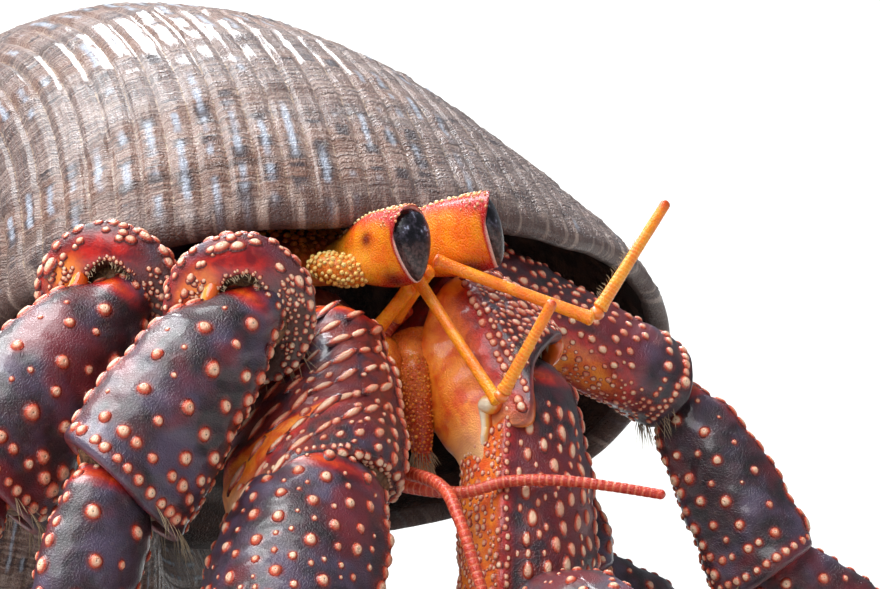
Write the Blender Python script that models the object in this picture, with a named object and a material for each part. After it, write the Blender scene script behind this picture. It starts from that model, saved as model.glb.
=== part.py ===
"""A land hermit crab in a ribbed turban shell, life size, standing still.

The crab faces -Y, its right side is -X and the floor is z = 0. Sizes are in millimetres and
become metres in make_mesh, feeler and block. Every limb piece is a loft along its own axis, and
each joint is parted by cutting the nearer piece with a slightly grown copy of the farther one.
"""

import math

import bmesh
import bpy
from mathutils import Matrix, Vector

MM = 0.001
GAP = 0.3
UP = Vector((0, 0, 1))

# The shell: one tube coiled round its axis, growing by WHORL_GROWTH each turn.
APEX = Vector((-36.3, 40.2, 32.8))
AXIS_HEADING = math.radians(158.7)
AXIS_RISE = math.radians(20.2)
AXIS_SPIN = math.radians(49.7)
WHORL_GROWTH = 2.1
TUBE_CENTRE = 15.6
TUBE_RADIAL = 18.9
TUBE_AXIAL = 27.7
TUBE_DROP = 50.8
TUBE_TILT = math.radians(5.6)
TUBE_SHOULDER = 0.066
TUBE_SKEW = 0.018
LIP_SWEEP = 0.42
LIP_LEAN = 0.11
LIP_WAVE = -0.058
COLUMELLA = 0.9
PILLAR_SLOPE = 0.3
PILLAR_TAPER = 0.24
PILLAR_TIP = 1.1
PILLAR_END = 66.0
SPIRE_DEPTH = 42.0
SPIRE_POINTS = 20
SPIRE_RINGS = 21
SPIRE_STEP = 0.87
WALL = 1.6
LIP_EDGE = 0.6
# The hollow: where it starts, then (place on the way to the lip, inset from the tube's outside).
HOLLOW_START = math.radians(-100)
HOLLOW = ((-0.06, 9.0), (0.0, 5.0), (0.12, 2.6), (0.3, WALL), (0.5, WALL), (0.7, WALL), (0.85, WALL),
          (1.0, LIP_EDGE), (1.2, LIP_EDGE / 2))
SECTION_POINTS = 28
WHORL_STEPS = 24
WHORL_START = math.radians(-300)
SPIRE_START = math.radians(-280)

# Limb profiles: (place along the piece, half width, dorsal height, ventral height).
HIP = ((0.0, 1.6, 1.8, 1.6), (0.1, 2.4, 2.5, 2.3), (0.55, 2.7, 2.9, 2.7), (1.0, 2.0, 2.2, 2.0))
MERUS = ((0.0, 1.9, 2.0, 1.9), (0.07, 2.9, 3.0, 2.9), (0.3, 3.6, 3.5, 3.5), (0.65, 4.2, 4.2, 3.8),
         (0.92, 4.7, 5.0, 3.9), (1.02, 4.4, 4.7, 3.5))
CARPUS = ((-0.05, 1.2, 1.6, 1.4), (0.0, 2.3, 2.7, 2.5), (0.1, 2.9, 3.4, 3.7), (0.3, 3.2, 3.9, 4.4),
          (0.6, 3.2, 4.1, 5.0), (0.9, 3.1, 3.9, 5.3), (1.0, 2.8, 3.5, 4.7))
PROPODUS = ((-0.04, 1.0, 1.7, 1.2), (0.02, 2.2, 3.4, 2.3), (0.14, 2.8, 4.4, 3.2), (0.5, 2.7, 4.1, 3.6),
            (0.85, 2.3, 3.2, 3.1), (1.0, 1.8, 2.4, 2.3))
DACTYL = ((-0.04, 0.9, 1.1, 1.0), (0.02, 1.8, 2.2, 2.0), (0.12, 2.0, 2.5, 2.3), (0.5, 1.7, 2.0, 1.9),
          (0.82, 1.0, 1.2, 1.1), (1.0, 0.35, 0.4, 0.4))
CLAW_MERUS = ((0.0, 2.0, 2.0, 1.9), (0.06, 3.4, 3.3, 3.3), (0.3, 4.5, 4.2, 4.4), (0.65, 5.2, 4.7, 5.5),
              (0.92, 5.7, 5.1, 6.6), (1.02, 5.3, 4.7, 6.2))
CLAW_CARPUS = ((-0.06, 1.4, 1.9, 1.5), (0.0, 3.1, 3.5, 2.9), (0.15, 4.4, 4.8, 4.0), (0.5, 5.2, 5.4, 4.8),
               (0.85, 5.2, 5.5, 5.0), (1.0, 4.4, 4.8, 4.4))
CLAW = ((-0.04, 1.3, 1.7, 1.5), (0.02, 2.8, 3.6, 3.2), (0.15, 3.9, 5.4, 4.7), (0.38, 4.4, 6.4, 5.4),
        (0.6, 4.1, 5.9, 4.8), (0.8, 3.1, 4.2, 3.4), (0.94, 1.7, 2.2, 1.7), (1.0, 0.6, 0.8, 0.6))
FINGER_HINGE = 0.46
EYESTALK = ((0.0, 0.8, 0.9, 0.9), (0.1, 1.1, 1.3, 1.2), (0.35, 1.2, 1.9, 1.6), (0.55, 1.25, 2.5, 2.2),
            (0.9, 1.35, 2.8, 2.6), (1.0, 1.2, 2.5, 2.3))
ACICLE = ((0.0, 0.5, 0.7, 0.6), (0.15, 0.9, 1.3, 1.1), (0.6, 0.9, 1.3, 1.1), (0.9, 0.6, 0.8, 0.7),
          (1.0, 0.3, 0.4, 0.3))
MOUTHPART = ((0.0, 0.7, 0.9, 0.8), (0.1, 1.1, 1.2, 1.1), (0.6, 1.1, 1.1, 1.1), (0.92, 0.8, 0.8, 0.8),
             (1.0, 0.5, 0.5, 0.5))

# The joints of each walking leg, from body to tip, and the leg's girth.
LEGS = {
    "leg_2_right": ((-2.8, 7.0, 23.1), (-4.8, 4.4, 29.4), (-14.9, -8.7, 33.6), (-24.0, -8.6, 23.8),
                    (-31.0, -10.8, 10.4), (-43.0, -12.4, 0.3), 1.0),
    "leg_3_right": ((-3.0, 12.5, 23.1), (-6.4, 11.0, 28.6), (-17.8, 0.8, 33.4), (-27.4, 1.2, 23.4),
                    (-36.4, 2.8, 10.6), (-49.0, 4.4, 0.3), 1.03),
    "leg_2_left": ((5.2, 7.2, 23.1), (9.2, 1.0, 30.6), (24.2, -5.6, 24.0), (26.6, -12.2, 12.8),
                   (35.0, -17.4, 6.0), (48.0, -22.0, 0.3), 0.76),
    "leg_3_left": ((5.4, 12.5, 21.6), (10.0, 8.4, 23.0), (18.8, 3.4, 20.6), (19.4, -0.8, 11.4),
                   (29.4, -4.0, 5.4), (42.4, -6.4, 0.3), 0.7),
}
# The joints of each clawed leg, from body to fingertip, the leg's girth and the claw's girth.
CLAWS = {
    "claw_right": ((-2.6, 2.8, 24.0), (-4.4, -4.4, 31.0), (-11.8, -12.2, 22.2), (-18.8, -17.0, 13.8),
                   (-17.8, -37.0, 0.9), 0.97, 0.95),
    "claw_left": ((5.4, 2.8, 24.0), (7.0, -4.0, 32.6), (7.2, -9.6, 26.8), (3.0, -14.8, 13.4),
                  (0.4, -38.4, 1.2), 0.82, 1.2),
}
TRUNK = {
    # start, end and profile of each length
    "shield": ((1.2, 0.9, 33.7), (1.2, 18.0, 33.9),
               ((0.0, 3.2, 1.3, 0.5), (0.05, 4.2, 2.0, 0.7), (0.3, 5.6, 2.6, 0.7), (0.65, 6.4, 3.0, 0.7),
                (1.0, 6.2, 2.8, 0.7))),
    "thorax": ((1.2, 2.2, 28.2), (1.2, 19.0, 28.2),
               ((0.0, 2.6, 3.2, 2.6), (0.1, 4.0, 4.3, 3.8), (0.4, 5.2, 4.4, 4.4), (0.8, 5.4, 4.4, 4.1),
                (1.0, 4.8, 4.0, 3.6))),
}
# The hind body's centre line and its radius at each place.
ABDOMEN = (((1.8, 19.6, 28.9), 4.7), ((5.0, 24.0, 30.6), 5.2), ((7.0, 28.0, 30.8), 5.2),
           ((8.4, 31.2, 30.0), 4.4), ((9.0, 33.6, 28.8), 2.8))
EYES = {
    "right": ((-0.1, 0.6, 34.6), (-0.9, -8.2, 36.4)),
    "left": ((2.5, 0.6, 34.6), (4.7, -8.9, 36.8)),
}
CORNEA = (1.25, 2.3, 0.95)
ACICLES = {
    "right": ((-2.7, -0.6, 34.2), (-2.7, -4.6, 34.5)),
    "left": ((4.8, -0.6, 34.4), (5.9, -4.4, 34.7)),
}
MAXILLIPEDS = {
    "right": ((0.2, -2.2, 29.8), (-0.5, -4.2, 27.6), (-1.2, -6.9, 21.8)),
    "left": ((2.9, -2.8, 30.2), (2.3, -4.8, 28.0), (1.6, -7.4, 21.6)),
}
# Each antennule: base, joint, elbow and tip. Each antenna: the route of its whip.
ANTENNULES = {
    "right": ((0.3, -3.6, 30.8), (0.9, -6.6, 34.5), (1.2, -14.2, 27.2), (2.4, -17.9, 34.1)),
    "left": ((1.9, -3.4, 31.2), (1.8, -7.2, 35.6), (8.6, -14.8, 31.8), (13.6, -16.0, 39.2)),
}
ANTENNAE = {
    "right": ((-1.4, -3.0, 31.4), (-1.6, -5.4, 29.4), (-2.4, -8.4, 26.4), (-3.6, -12.0, 23.6),
              (-4.8, -15.4, 23.1), (-5.8, -18.6, 21.6), (-6.3, -21.0, 18.4), (-6.8, -23.6, 14.6),
              (-7.4, -27.0, 12.0)),
    "left": ((3.6, -2.6, 31.9), (2.2, -6.0, 30.4), (0.9, -7.0, 28.6), (-0.4, -7.9, 25.4), (-2.0, -10.0, 22.2),
             (-0.8, -12.2, 21.6), (1.4, -14.8, 22.4), (3.4, -17.4, 22.6), (5.6, -19.8, 22.3),
             (8.0, -22.2, 21.8)),
}

# Pieces that would press into a neighbour, and the neighbour that each gives way to.
CONTACTS = (
    ("leg_3_right_merus", "leg_2_right_merus"),
    ("claw_right_merus", "leg_2_right_merus"),
    ("claw_right_hip", "leg_2_right_merus"),
    ("claw_right_hip", "leg_2_right_hip"),
    ("claw_left_hip", "leg_2_left_hip"),
)

PLATE = (0.045, 0.015, 0.025)
RED = (0.35, 0.05, 0.03)
ORANGE = (0.8, 0.24, 0.02)
FLESH = (0.42, 0.2, 0.12)
SHELL = (0.22, 0.18, 0.16)


def start_empty():
    for item in list(bpy.data.objects):
        bpy.data.objects.remove(item, do_unlink=True)
    body = bpy.data.collections.new("hermit_crab")
    cutters = bpy.data.collections.new("cutters")
    cutters.hide_render = True
    for group in (body, cutters):
        bpy.context.scene.collection.children.link(group)
    return body, cutters


BODY, CUTTERS = start_empty()
ROOT = bpy.data.objects.new("hermit_crab", None)
BODY.objects.link(ROOT)


def finish(name, data, colour, roughness=0.4):
    """Puts an object in its collection: with a colour it is a part, and without one a cutter."""
    item = bpy.data.objects.new(name, data)
    item.parent = ROOT
    if colour is None:
        CUTTERS.objects.link(item)
        item.hide_render = True
        item.display_type = "WIRE"
        return item
    BODY.objects.link(item)
    paint = bpy.data.materials.new(name)
    paint.use_nodes = True
    shader = paint.node_tree.nodes["Principled BSDF"]
    shader.inputs["Base Color"].default_value = (*colour, 1)
    shader.inputs["Roughness"].default_value = roughness
    shader.inputs["Metallic"].default_value = 0.0
    data.materials.append(paint)
    return item


def make_mesh(name, rings, colour, roughness=0.4):
    """One closed skin over a list of rings, each a loop of as many points, with flat ends."""
    mesh = bmesh.new()
    loops = [[mesh.verts.new(point * MM) for point in ring] for ring in rings]
    count = len(loops[0])
    for near, far in zip(loops, loops[1:]):
        for i in range(count):
            j = (i + 1) % count
            mesh.faces.new((near[i], near[j], far[j], far[i]))
    mesh.faces.new(loops[0])
    mesh.faces.new(loops[-1])
    bmesh.ops.recalc_face_normals(mesh, faces=mesh.faces)
    data = bpy.data.meshes.new(name)
    mesh.to_mesh(data)
    mesh.free()
    return finish(name, data, colour, roughness)


def frame_along(start, end, dorsal=UP):
    """The axis, side and dorsal directions of a piece, square to each other."""
    axis = (end - start).normalized()
    side = axis.cross(dorsal).normalized()
    return axis, side, side.cross(axis)


def limb_rings(start, end, profile, girth, bow, dorsal, sides, grow=0.0):
    """Egg-shaped rings set along the line from start to end, arched by bow."""
    start, end = Vector(start), Vector(end)
    axis, side, top = frame_along(start, end, dorsal)
    rings = []
    for place, half, over, under in profile:
        ends = grow if place == profile[-1][0] else -grow if place == profile[0][0] else 0.0
        centre = start.lerp(end, place) + axis * ends + top * bow * 4 * place * (1 - place)
        ring = []
        for step in range(sides):
            angle = math.tau * (step + 0.5) / sides
            height = over if math.sin(angle) > 0 else under
            across = (half * girth + grow) * math.cos(angle)
            ring.append(centre + side * across + top * (height * girth + grow) * math.sin(angle))
        rings.append(ring)
    return rings


LIMBS = {}


def limb(name, start, end, profile, colour, girth=1.0, bow=0.0, dorsal=UP, sides=12):
    """A limb piece or a length of the trunk; its measures are kept for cutter_of."""
    LIMBS[name] = (start, end, profile, girth, bow, dorsal, sides)
    return make_mesh(name, limb_rings(*LIMBS[name]), colour)


def cutter_of(name):
    """A copy of a limb piece that is GAP larger all round, to clear its neighbours with."""
    found = bpy.data.objects.get(f"{name}_cutter")
    return found or make_mesh(f"{name}_cutter", limb_rings(*LIMBS[name], grow=GAP), None)


def beyond(start, end, distance):
    """The point this far from start on the way to end."""
    start, end = Vector(start), Vector(end)
    return start + (end - start).normalized() * distance


def feeler(name, points, radii, colour):
    """A feeler: a round wire through its points, with its own radius at each."""
    curve = bpy.data.curves.new(name, "CURVE")
    curve.dimensions = "3D"
    curve.bevel_depth = MM
    curve.bevel_resolution = 2
    curve.use_fill_caps = True
    line = curve.splines.new("POLY")
    line.points.add(len(points) - 1)
    for point, place, radius in zip(line.points, points, radii):
        point.co = (*(Vector(place) * MM), 1)
        point.radius = radius
    return finish(name, curve, colour)


def cut(item, cutter, operation="DIFFERENCE"):
    change = item.modifiers.new(cutter.name, "BOOLEAN")
    change.operation = operation
    change.object = cutter
    change.solver = "EXACT"


def block(name, centre, axes, sizes, colour=None):
    """A box turned to its own axes; without a colour it is a cutter."""
    mesh = bmesh.new()
    bmesh.ops.create_cube(mesh, size=1.0)
    turn = Matrix([[a * s for a, s in zip(row, sizes)] for row in zip(*axes)])
    for vert in mesh.verts:
        vert.co = (turn @ vert.co + Vector(centre)) * MM
    data = bpy.data.meshes.new(name)
    mesh.to_mesh(data)
    mesh.free()
    return finish(name, data, colour)


# ---------------------------------------------------------------- the shell
def shell_turn():
    """The matrix from the coil's own axes (Z to the apex) to the world."""
    apex = Vector((math.cos(AXIS_RISE) * math.cos(AXIS_HEADING),
                   math.cos(AXIS_RISE) * math.sin(AXIS_HEADING), math.sin(AXIS_RISE)))
    upright = (UP - apex * apex.z).normalized()
    flat = upright.cross(apex)
    first = flat * math.cos(AXIS_SPIN) + upright * math.sin(AXIS_SPIN)
    second = upright * math.cos(AXIS_SPIN) - flat * math.sin(AXIS_SPIN)
    return Matrix((first, second, apex)).transposed()


def lip_angle(phase):
    """How far the slanting edge of the lip runs past, or stops short of, the coil's zero."""
    return LIP_SWEEP * math.sin(phase) + LIP_LEAN * math.cos(phase) + LIP_WAVE * math.sin(2 * phase)


def tube_outline(inset=0.0, core=COLUMELLA):
    """The tube's section at the lip: (phase, distance from the axis, place along the axis)."""
    outline = []
    for step in range(SECTION_POINTS):
        phase = math.tau * step / SECTION_POINTS
        bulge = 1 + TUBE_SKEW * math.sin(2 * phase) + TUBE_SHOULDER * math.sin(3 * phase)
        across = (TUBE_RADIAL - inset) * bulge * math.cos(phase)
        along = (TUBE_AXIAL - inset) * bulge * math.sin(phase)
        radial = TUBE_CENTRE + across * math.cos(TUBE_TILT) - along * math.sin(TUBE_TILT)
        axial = -TUBE_DROP + across * math.sin(TUBE_TILT) + along * math.cos(TUBE_TILT)
        outline.append((phase, max(radial, core), axial))
    return outline


def coil_point(turn, angle, radial, axial):
    local = Vector((radial * math.cos(angle), -radial * math.sin(angle), axial))
    return APEX + turn @ local


def coil_ring(turn, first, place, inset=0.0, core=COLUMELLA):
    """The tube's outline part way from a coil angle to the lip."""
    ring = []
    for phase, radial, axial in tube_outline(inset, core):
        angle = first + place * (lip_angle(phase) - first)
        size = WHORL_GROWTH ** (angle / math.tau)
        ring.append(coil_point(turn, angle, radial * size, axial * size))
    return ring


def reach(outline, depth):
    """How far the tube's section stands out from the axis at this depth below the apex."""
    found = 0.0
    for (_, r1, a1), (_, r2, a2) in zip(outline, outline[1:] + outline[:1]):
        if (a1 + depth) * (a2 + depth) <= 0 and a1 != a2:
            found = max(found, r1 + (r2 - r1) * (a1 + depth) / (a1 - a2))
    return found


def spire_ring(turn, outline, depth):
    """The outside of the older whorls at one depth, all round the axis, or of the pillar below them."""
    pillar = min(PILLAR_SLOPE * depth, PILLAR_TIP + PILLAR_TAPER * (PILLAR_END - depth))
    ring = []
    for step in range(SPIRE_POINTS):
        angle = SPIRE_START - math.tau * step / SPIRE_POINTS
        radius = pillar
        for whorl in range(5):
            size = WHORL_GROWTH ** (angle / math.tau - whorl)
            radius = max(radius, reach(outline, depth / size) * size)
        ring.append(coil_point(turn, angle, radius, -depth))
    return ring


def make_shell(floor):
    """The body whorl is hollowed out, and the spire joined on is also the hollow's inner wall."""
    turn = shell_turn()
    rings = [coil_ring(turn, WHORL_START, i / WHORL_STEPS) for i in range(WHORL_STEPS + 1)]
    rings.append(coil_ring(turn, WHORL_START, 0.98, 2 * WALL, COLUMELLA * 1.3))
    shell = make_mesh("shell", rings, SHELL, 0.35)
    hollow = [coil_ring(turn, HOLLOW_START, place, inset, COLUMELLA + 0.4) for place, inset in HOLLOW]
    cut(shell, make_mesh("hollow_cutter", hollow, None))
    outline = tube_outline()
    depths = [PILLAR_END, PILLAR_END - 8, PILLAR_END - 16]
    depths += [SPIRE_DEPTH * SPIRE_STEP ** i for i in range(SPIRE_RINGS)]
    rings = [spire_ring(turn, outline, depth) for depth in depths]
    cut(shell, make_mesh("spire_cutter", rings, None), "UNION")
    cut(shell, floor)


# ---------------------------------------------------------------- the body and limbs
def make_trunk():
    """The shield, the flesh under it, and the soft hind body that curls into the shell."""
    for name, (start, end, profile) in TRUNK.items():
        limb(name, start, end, profile, PLATE if name == "shield" else FLESH, sides=14)
    centres = [Vector(place) for place, _ in ABDOMEN]
    rings = []
    for i, (_, radius) in enumerate(ABDOMEN):
        ahead = centres[min(i + 1, len(centres) - 1)]
        behind = centres[max(i - 1, 0)]
        axis, side, top = frame_along(behind, ahead)
        rings.append([centres[i] + (side * math.cos(angle) + top * math.sin(angle)) * radius
                      for angle in (math.tau * k / 12 for k in range(12))])
    cut(make_mesh("abdomen", rings, FLESH), cutter_of("thorax"))


def make_leg(name, joints, girth, profiles, pieces, bows):
    """The pieces of one leg; each is cut where the next one out fits into it."""
    made = [limb(f"{name}_{piece}", start, end, profile, PLATE, girth, bow)
            for piece, start, end, profile, bow in zip(pieces, joints, joints[1:], profiles, bows)]
    for near, far in zip(made, made[1:]):
        cut(near, cutter_of(far.name))
    return made


def make_claw(name, start, end, girth, floor):
    """The palm, and the movable finger above it, parted by a thin slanting mouth."""
    palm = limb(f"{name}_palm", start, end, CLAW, PLATE, girth, 1.0)
    finger = limb(f"{name}_finger", start, end, CLAW, PLATE, girth, 1.0)
    start, end = Vector(start), Vector(end)
    axis, side, top = frame_along(start, end)
    length = (end - start).length
    above = 8 * girth
    centre = start + axis * (length * FINGER_HINGE + length / 2) + top * above
    sizes = Vector((4 * above, length, 2 * above))
    cut(finger, block(f"{name}_finger_cutter", centre, (side, axis, top), sizes), "INTERSECT")
    wider = sizes + Vector((0, 2 * GAP, 2 * GAP))
    cut(palm, block(f"{name}_mouth_cutter", centre, (side, axis, top), wider))
    cut(palm, floor)
    cut(finger, floor)


def make_limbs(floor):
    for name, (*joints, girth) in LEGS.items():
        made = make_leg(name, joints, girth, (HIP, MERUS, CARPUS, PROPODUS, DACTYL),
                        ("hip", "merus", "carpus", "propodus", "dactyl"), (0, 0, 0.4, 0.3, 1.2))
        cut(made[-1], floor)
    for name, (*joints, tip, girth, claw_girth) in CLAWS.items():
        make_leg(name, joints, girth, (HIP, CLAW_MERUS, CLAW_CARPUS), ("hip", "merus", "carpus"), (0, 0, 0))
        make_claw(name, joints[-1], tip, claw_girth, floor)
        cut(bpy.data.objects[f"{name}_carpus"], cutter_of(f"{name}_palm"))
    for name in (*LEGS, *CLAWS):
        cut(bpy.data.objects[f"{name}_hip"], cutter_of("thorax"))


def make_eye(side, places):
    start, end = Vector(places[0]), Vector(places[1])
    stalk = limb(f"eyestalk_{side}", start, end, EYESTALK, ORANGE)
    axes = frame_along(start, end)
    half, height, depth = CORNEA
    for grow, colour in ((0.0, (0.01, 0.01, 0.012)), (GAP / 2, None)):
        mesh = bmesh.new()
        bmesh.ops.create_uvsphere(mesh, u_segments=12, v_segments=8, radius=1.0)
        turn = Matrix([axes[1] * (half + grow), axes[2] * (height + grow), axes[0] * (depth + grow)])
        for vert in mesh.verts:
            vert.co = (end + turn.transposed() @ vert.co) * MM
        bmesh.ops.recalc_face_normals(mesh, faces=mesh.faces)
        name = f"cornea_{side}" if colour else f"cornea_{side}_cutter"
        data = bpy.data.meshes.new(name)
        mesh.to_mesh(data)
        mesh.free()
        ball = finish(name, data, colour, 0.1)
    cut(stalk, ball)
    return stalk


def make_feelers():
    for side, (root, joint, elbow, tip) in ANTENNULES.items():
        name = f"antennule_{side}"
        feeler(f"{name}_base", (root, beyond(joint, root, 0.8)), (0.55, 0.45), ORANGE)
        feeler(f"{name}_stalk", (joint, elbow), (0.42, 0.45), ORANGE)
        feeler(f"{name}_whip", (beyond(elbow, tip, 0.8), tip), (0.45, 0.4), ORANGE)
    for side, route in ANTENNAE.items():
        radii = [0.55 - 0.25 * i / (len(route) - 1) for i in range(len(route))]
        feeler(f"antenna_{side}", route, radii, RED)


def make_mouth():
    front = Vector((0, -1, 0))
    for side, (root, bend, tip) in MAXILLIPEDS.items():
        limb(f"maxilliped_{side}_base", root, bend, MOUTHPART, ORANGE, 1.05, dorsal=front, sides=10)
        limb(f"maxilliped_{side}", beyond(bend, tip, 0.8), tip, MOUTHPART, RED, dorsal=front, sides=10)
    for side, (start, end) in ACICLES.items():
        limb(f"acicle_{side}", start, end, ACICLE, ORANGE, sides=10)


def centre_on_floor():
    """Puts the origin on the floor, under the middle of the whole model."""
    bpy.context.view_layer.update()
    graph = bpy.context.evaluated_depsgraph_get()
    places = []
    for item in BODY.objects:
        if item.type != "EMPTY":
            shape = item.evaluated_get(graph)
            places += [item.matrix_world @ vert.co for vert in shape.to_mesh().vertices]
            shape.to_mesh_clear()
    low, high = (Vector(pick(place[axis] for place in places) for axis in range(3)) for pick in (min, max))
    ROOT.location = (-(low.x + high.x) / 2, -(low.y + high.y) / 2, -low.z)


def main():
    floor = block("floor_cutter", (0, 0, -20), ((1, 0, 0), (0, 1, 0), (0, 0, 1)), (300, 300, 40))
    make_shell(floor)
    make_trunk()
    make_limbs(floor)
    make_mouth()
    for side, places in EYES.items():
        make_eye(side, places)
    make_feelers()
    for item, pressed in CONTACTS:
        cut(bpy.data.objects[item], cutter_of(pressed))
    centre_on_floor()


main()
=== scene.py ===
# %% [markdown]
# # A land hermit crab in a ribbed turban shell
#
# The crab stands still, life size, half out of a shell it did not grow. The plain solids of the
# frame say where every piece is and how big it is. This lesson lays the real surfaces over them:
# the corded shell, the pearl-studded leg plates, the wedge-shaped eyes and the ringed feelers.

# %% Load the frame
import math

import bmesh
import bpy
import numpy as np
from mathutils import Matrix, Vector
from mathutils.bvhtree import BVHTree


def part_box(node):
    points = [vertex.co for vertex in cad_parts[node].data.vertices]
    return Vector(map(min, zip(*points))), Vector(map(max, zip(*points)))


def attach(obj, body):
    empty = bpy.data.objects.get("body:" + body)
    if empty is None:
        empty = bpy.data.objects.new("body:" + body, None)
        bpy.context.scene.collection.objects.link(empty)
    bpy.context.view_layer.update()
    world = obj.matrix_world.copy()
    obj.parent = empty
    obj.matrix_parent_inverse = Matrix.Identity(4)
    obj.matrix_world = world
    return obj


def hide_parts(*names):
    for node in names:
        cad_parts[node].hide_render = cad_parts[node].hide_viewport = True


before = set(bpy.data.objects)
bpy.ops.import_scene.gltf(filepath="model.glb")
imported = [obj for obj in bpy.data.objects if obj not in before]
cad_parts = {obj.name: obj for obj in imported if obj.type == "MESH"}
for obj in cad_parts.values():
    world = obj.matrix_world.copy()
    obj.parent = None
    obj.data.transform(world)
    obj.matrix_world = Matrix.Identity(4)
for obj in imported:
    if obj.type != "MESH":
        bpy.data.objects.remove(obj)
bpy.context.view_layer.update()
MM = 0.001
UP = np.array((0.0, 0.0, 1.0))
chance = np.random.default_rng(11)

# %% [markdown]
# ## Measuring the frame
#
# Each limb piece of the frame is a plain loft along a straight line. Its starting ring tells where
# its joint is, and rays shot at its axis from outside tell how thick it is all round. So nothing
# here needs to be typed in twice: the joints and girths are read from the solids.

# %% Small helpers for points
def unit(vector):
    return vector / np.linalg.norm(vector)


def units(vectors):
    """The rows of an array, each made one long."""
    return vectors / np.linalg.norm(vectors, axis=1, keepdims=True)


def turns(count):
    """Angles evenly round a circle."""
    return np.linspace(0, math.tau, count, endpoint=False)


def middle_of(points):
    """The middle of the box round some points."""
    return (points.min(axis=0) + points.max(axis=0)) / 2


def numbers(items, name, width=1, kind=np.float32):
    """One property of every vertex, loop or face, as an array."""
    values = np.empty(len(items) * width, kind)
    items.foreach_get(name, values)
    return values.reshape(-1, width) if width > 1 else values


print("a quarter turn is", round(turns(4)[1], 3), "radians")

# %% Find the joints
LIMB_RING = 12


def corners_of(node):
    """The separate corners of a solid, in millimetres."""
    points = numbers(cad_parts[node].data.vertices, "co", 3)
    return np.unique(np.round(points / MM, 3), axis=0)


def inner_end(node, toward, ring=LIMB_RING):
    """The middle of the ring where a limb piece starts, on the side that faces toward."""
    points = corners_of(node)
    end = toward
    for _ in range(5):
        along = unit(middle_of(points) - end)
        end = points[np.argsort(points @ along)[:ring]].mean(axis=0)
    return end


def outer_end(node, start, ring=LIMB_RING):
    """The middle of the ring where a limb piece ends, on the side away from its start."""
    points = corners_of(node)
    along = unit(middle_of(points) - start)
    return points[np.argsort(points @ along)[-ring:]].mean(axis=0)


BODY_MIDDLE = corners_of("thorax").mean(axis=0)


def joints_of(limb, parts):
    """Where each piece of a limb starts, from the body outwards, and then the limb's tip."""
    before, places = BODY_MIDDLE, []
    for part in parts:
        places.append(inner_end(f"{limb}_{part}", before))
        before = outer_end(f"{limb}_{part}", places[-1])
    points = corners_of(f"{limb}_{parts[-1]}")
    places.append(points[np.argmax(np.linalg.norm(points - places[-1], axis=1))])
    return places


ARM_PIECES = ("hip", "merus", "carpus", "palm")
print("the right arm bends at, in mm:", *np.round(joints_of("claw_right", ARM_PIECES), 1))

# %% Measure the girths
def axes_along(start, end, facing):
    """The piece's own directions: along it, to its front (the side that looks to facing), up."""
    axis = unit(end - start)
    top = unit(UP - axis * axis[2])
    front = unit(np.cross(axis, top))
    if front @ np.array(facing) < 0:
        front = -front
    return axis, front, top


def ray_tree(node):
    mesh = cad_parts[node].data
    points = [vert.co / MM for vert in mesh.vertices]
    return BVHTree.FromPolygons(points, [tuple(face.vertices) for face in mesh.polygons])


RAY_PLACES = np.linspace(0.1, 0.9, 17)
RAY_ANGLES = turns(36)
RAY_REACH = 30.0
SHORT_RAY = 0.6  # a reading below this share of the usual one met an end of the solid, not its side


def soften(field, times=2):
    """A light blur, closed across the columns and open along the rows."""
    for _ in range(times):
        field = (np.roll(field, 1, 1) + 2 * field + np.roll(field, -1, 1)) / 4
        padded = np.vstack([field[:1], field, field[-1:]])
        field = (padded[:-2] + 2 * padded[1:-1] + padded[2:]) / 4
    return field


def girth_of(node, start, end, axes):
    """Distance from the axis to the solid's outside, by place along it and angle round it."""
    tree = ray_tree(node)
    axis, front, top = axes
    field = np.full((len(RAY_PLACES), len(RAY_ANGLES)), np.nan)
    for i, place in enumerate(RAY_PLACES):
        middle = start + (end - start) * place
        for j, angle in enumerate(RAY_ANGLES):
            out = front * math.cos(angle) + top * math.sin(angle)
            hit = tree.ray_cast(Vector(middle + out * RAY_REACH), Vector(-out), RAY_REACH * 2)[0]
            if hit is not None:
                field[i, j] = (np.array(hit) - middle) @ out
    field[field < SHORT_RAY * np.nanmedian(field, axis=0)] = np.nan
    for j in range(len(RAY_ANGLES)):
        known = ~np.isnan(field[:, j])
        field[:, j] = np.interp(RAY_PLACES, RAY_PLACES[known], field[known, j])
    return soften(field, 3)


print("girths are read at", len(RAY_PLACES), "places and", len(RAY_ANGLES), "angles")

# %% [markdown]
# ## From points to pieces
#
# Every surface below is a grid of points worked out with numpy, because a crab's armour is
# nearly all curved plates. A small helper turns points and faces into one mesh piece, carries
# named marks (such as how red a rim is) to the finishes, and hangs the piece on the crab.

# %% Join points with faces
def grid_faces(rows, columns):
    """Quads between the points of a grid whose last column is joined to its first."""
    row, column = np.meshgrid(np.arange(rows - 1), np.arange(columns), indexing="ij")
    here, beside = row * columns + column, row * columns + (column + 1) % columns
    return np.stack([here, beside, beside + columns, here + columns], -1).reshape(-1, 4)


def fan_faces(ring, tip):
    """Triangles from a ring of points to one more point."""
    return np.stack([ring, np.roll(ring, -1), np.full(len(ring), tip)], -1)


def closed_tube(grid, flip=True):
    """Points and faces of a grid (rows, columns, 3), with a fan over its first and its last row."""
    rows, columns = grid.shape[:2]
    points = np.concatenate([grid.reshape(-1, 3), grid[0].mean(axis=0)[None], grid[-1].mean(axis=0)[None]])
    ring = np.arange(columns)
    faces = [grid_faces(rows, columns), fan_faces(ring[::-1], len(points) - 2),
             fan_faces(ring + (rows - 1) * columns, len(points) - 1)]
    return points, [part[:, ::-1] for part in faces] if flip else faces


def mirrored(axes):
    """Whether a tube round the first axis, drawn from the second to the third, is inside out."""
    return np.linalg.det(np.array(axes)) > 0


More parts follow.
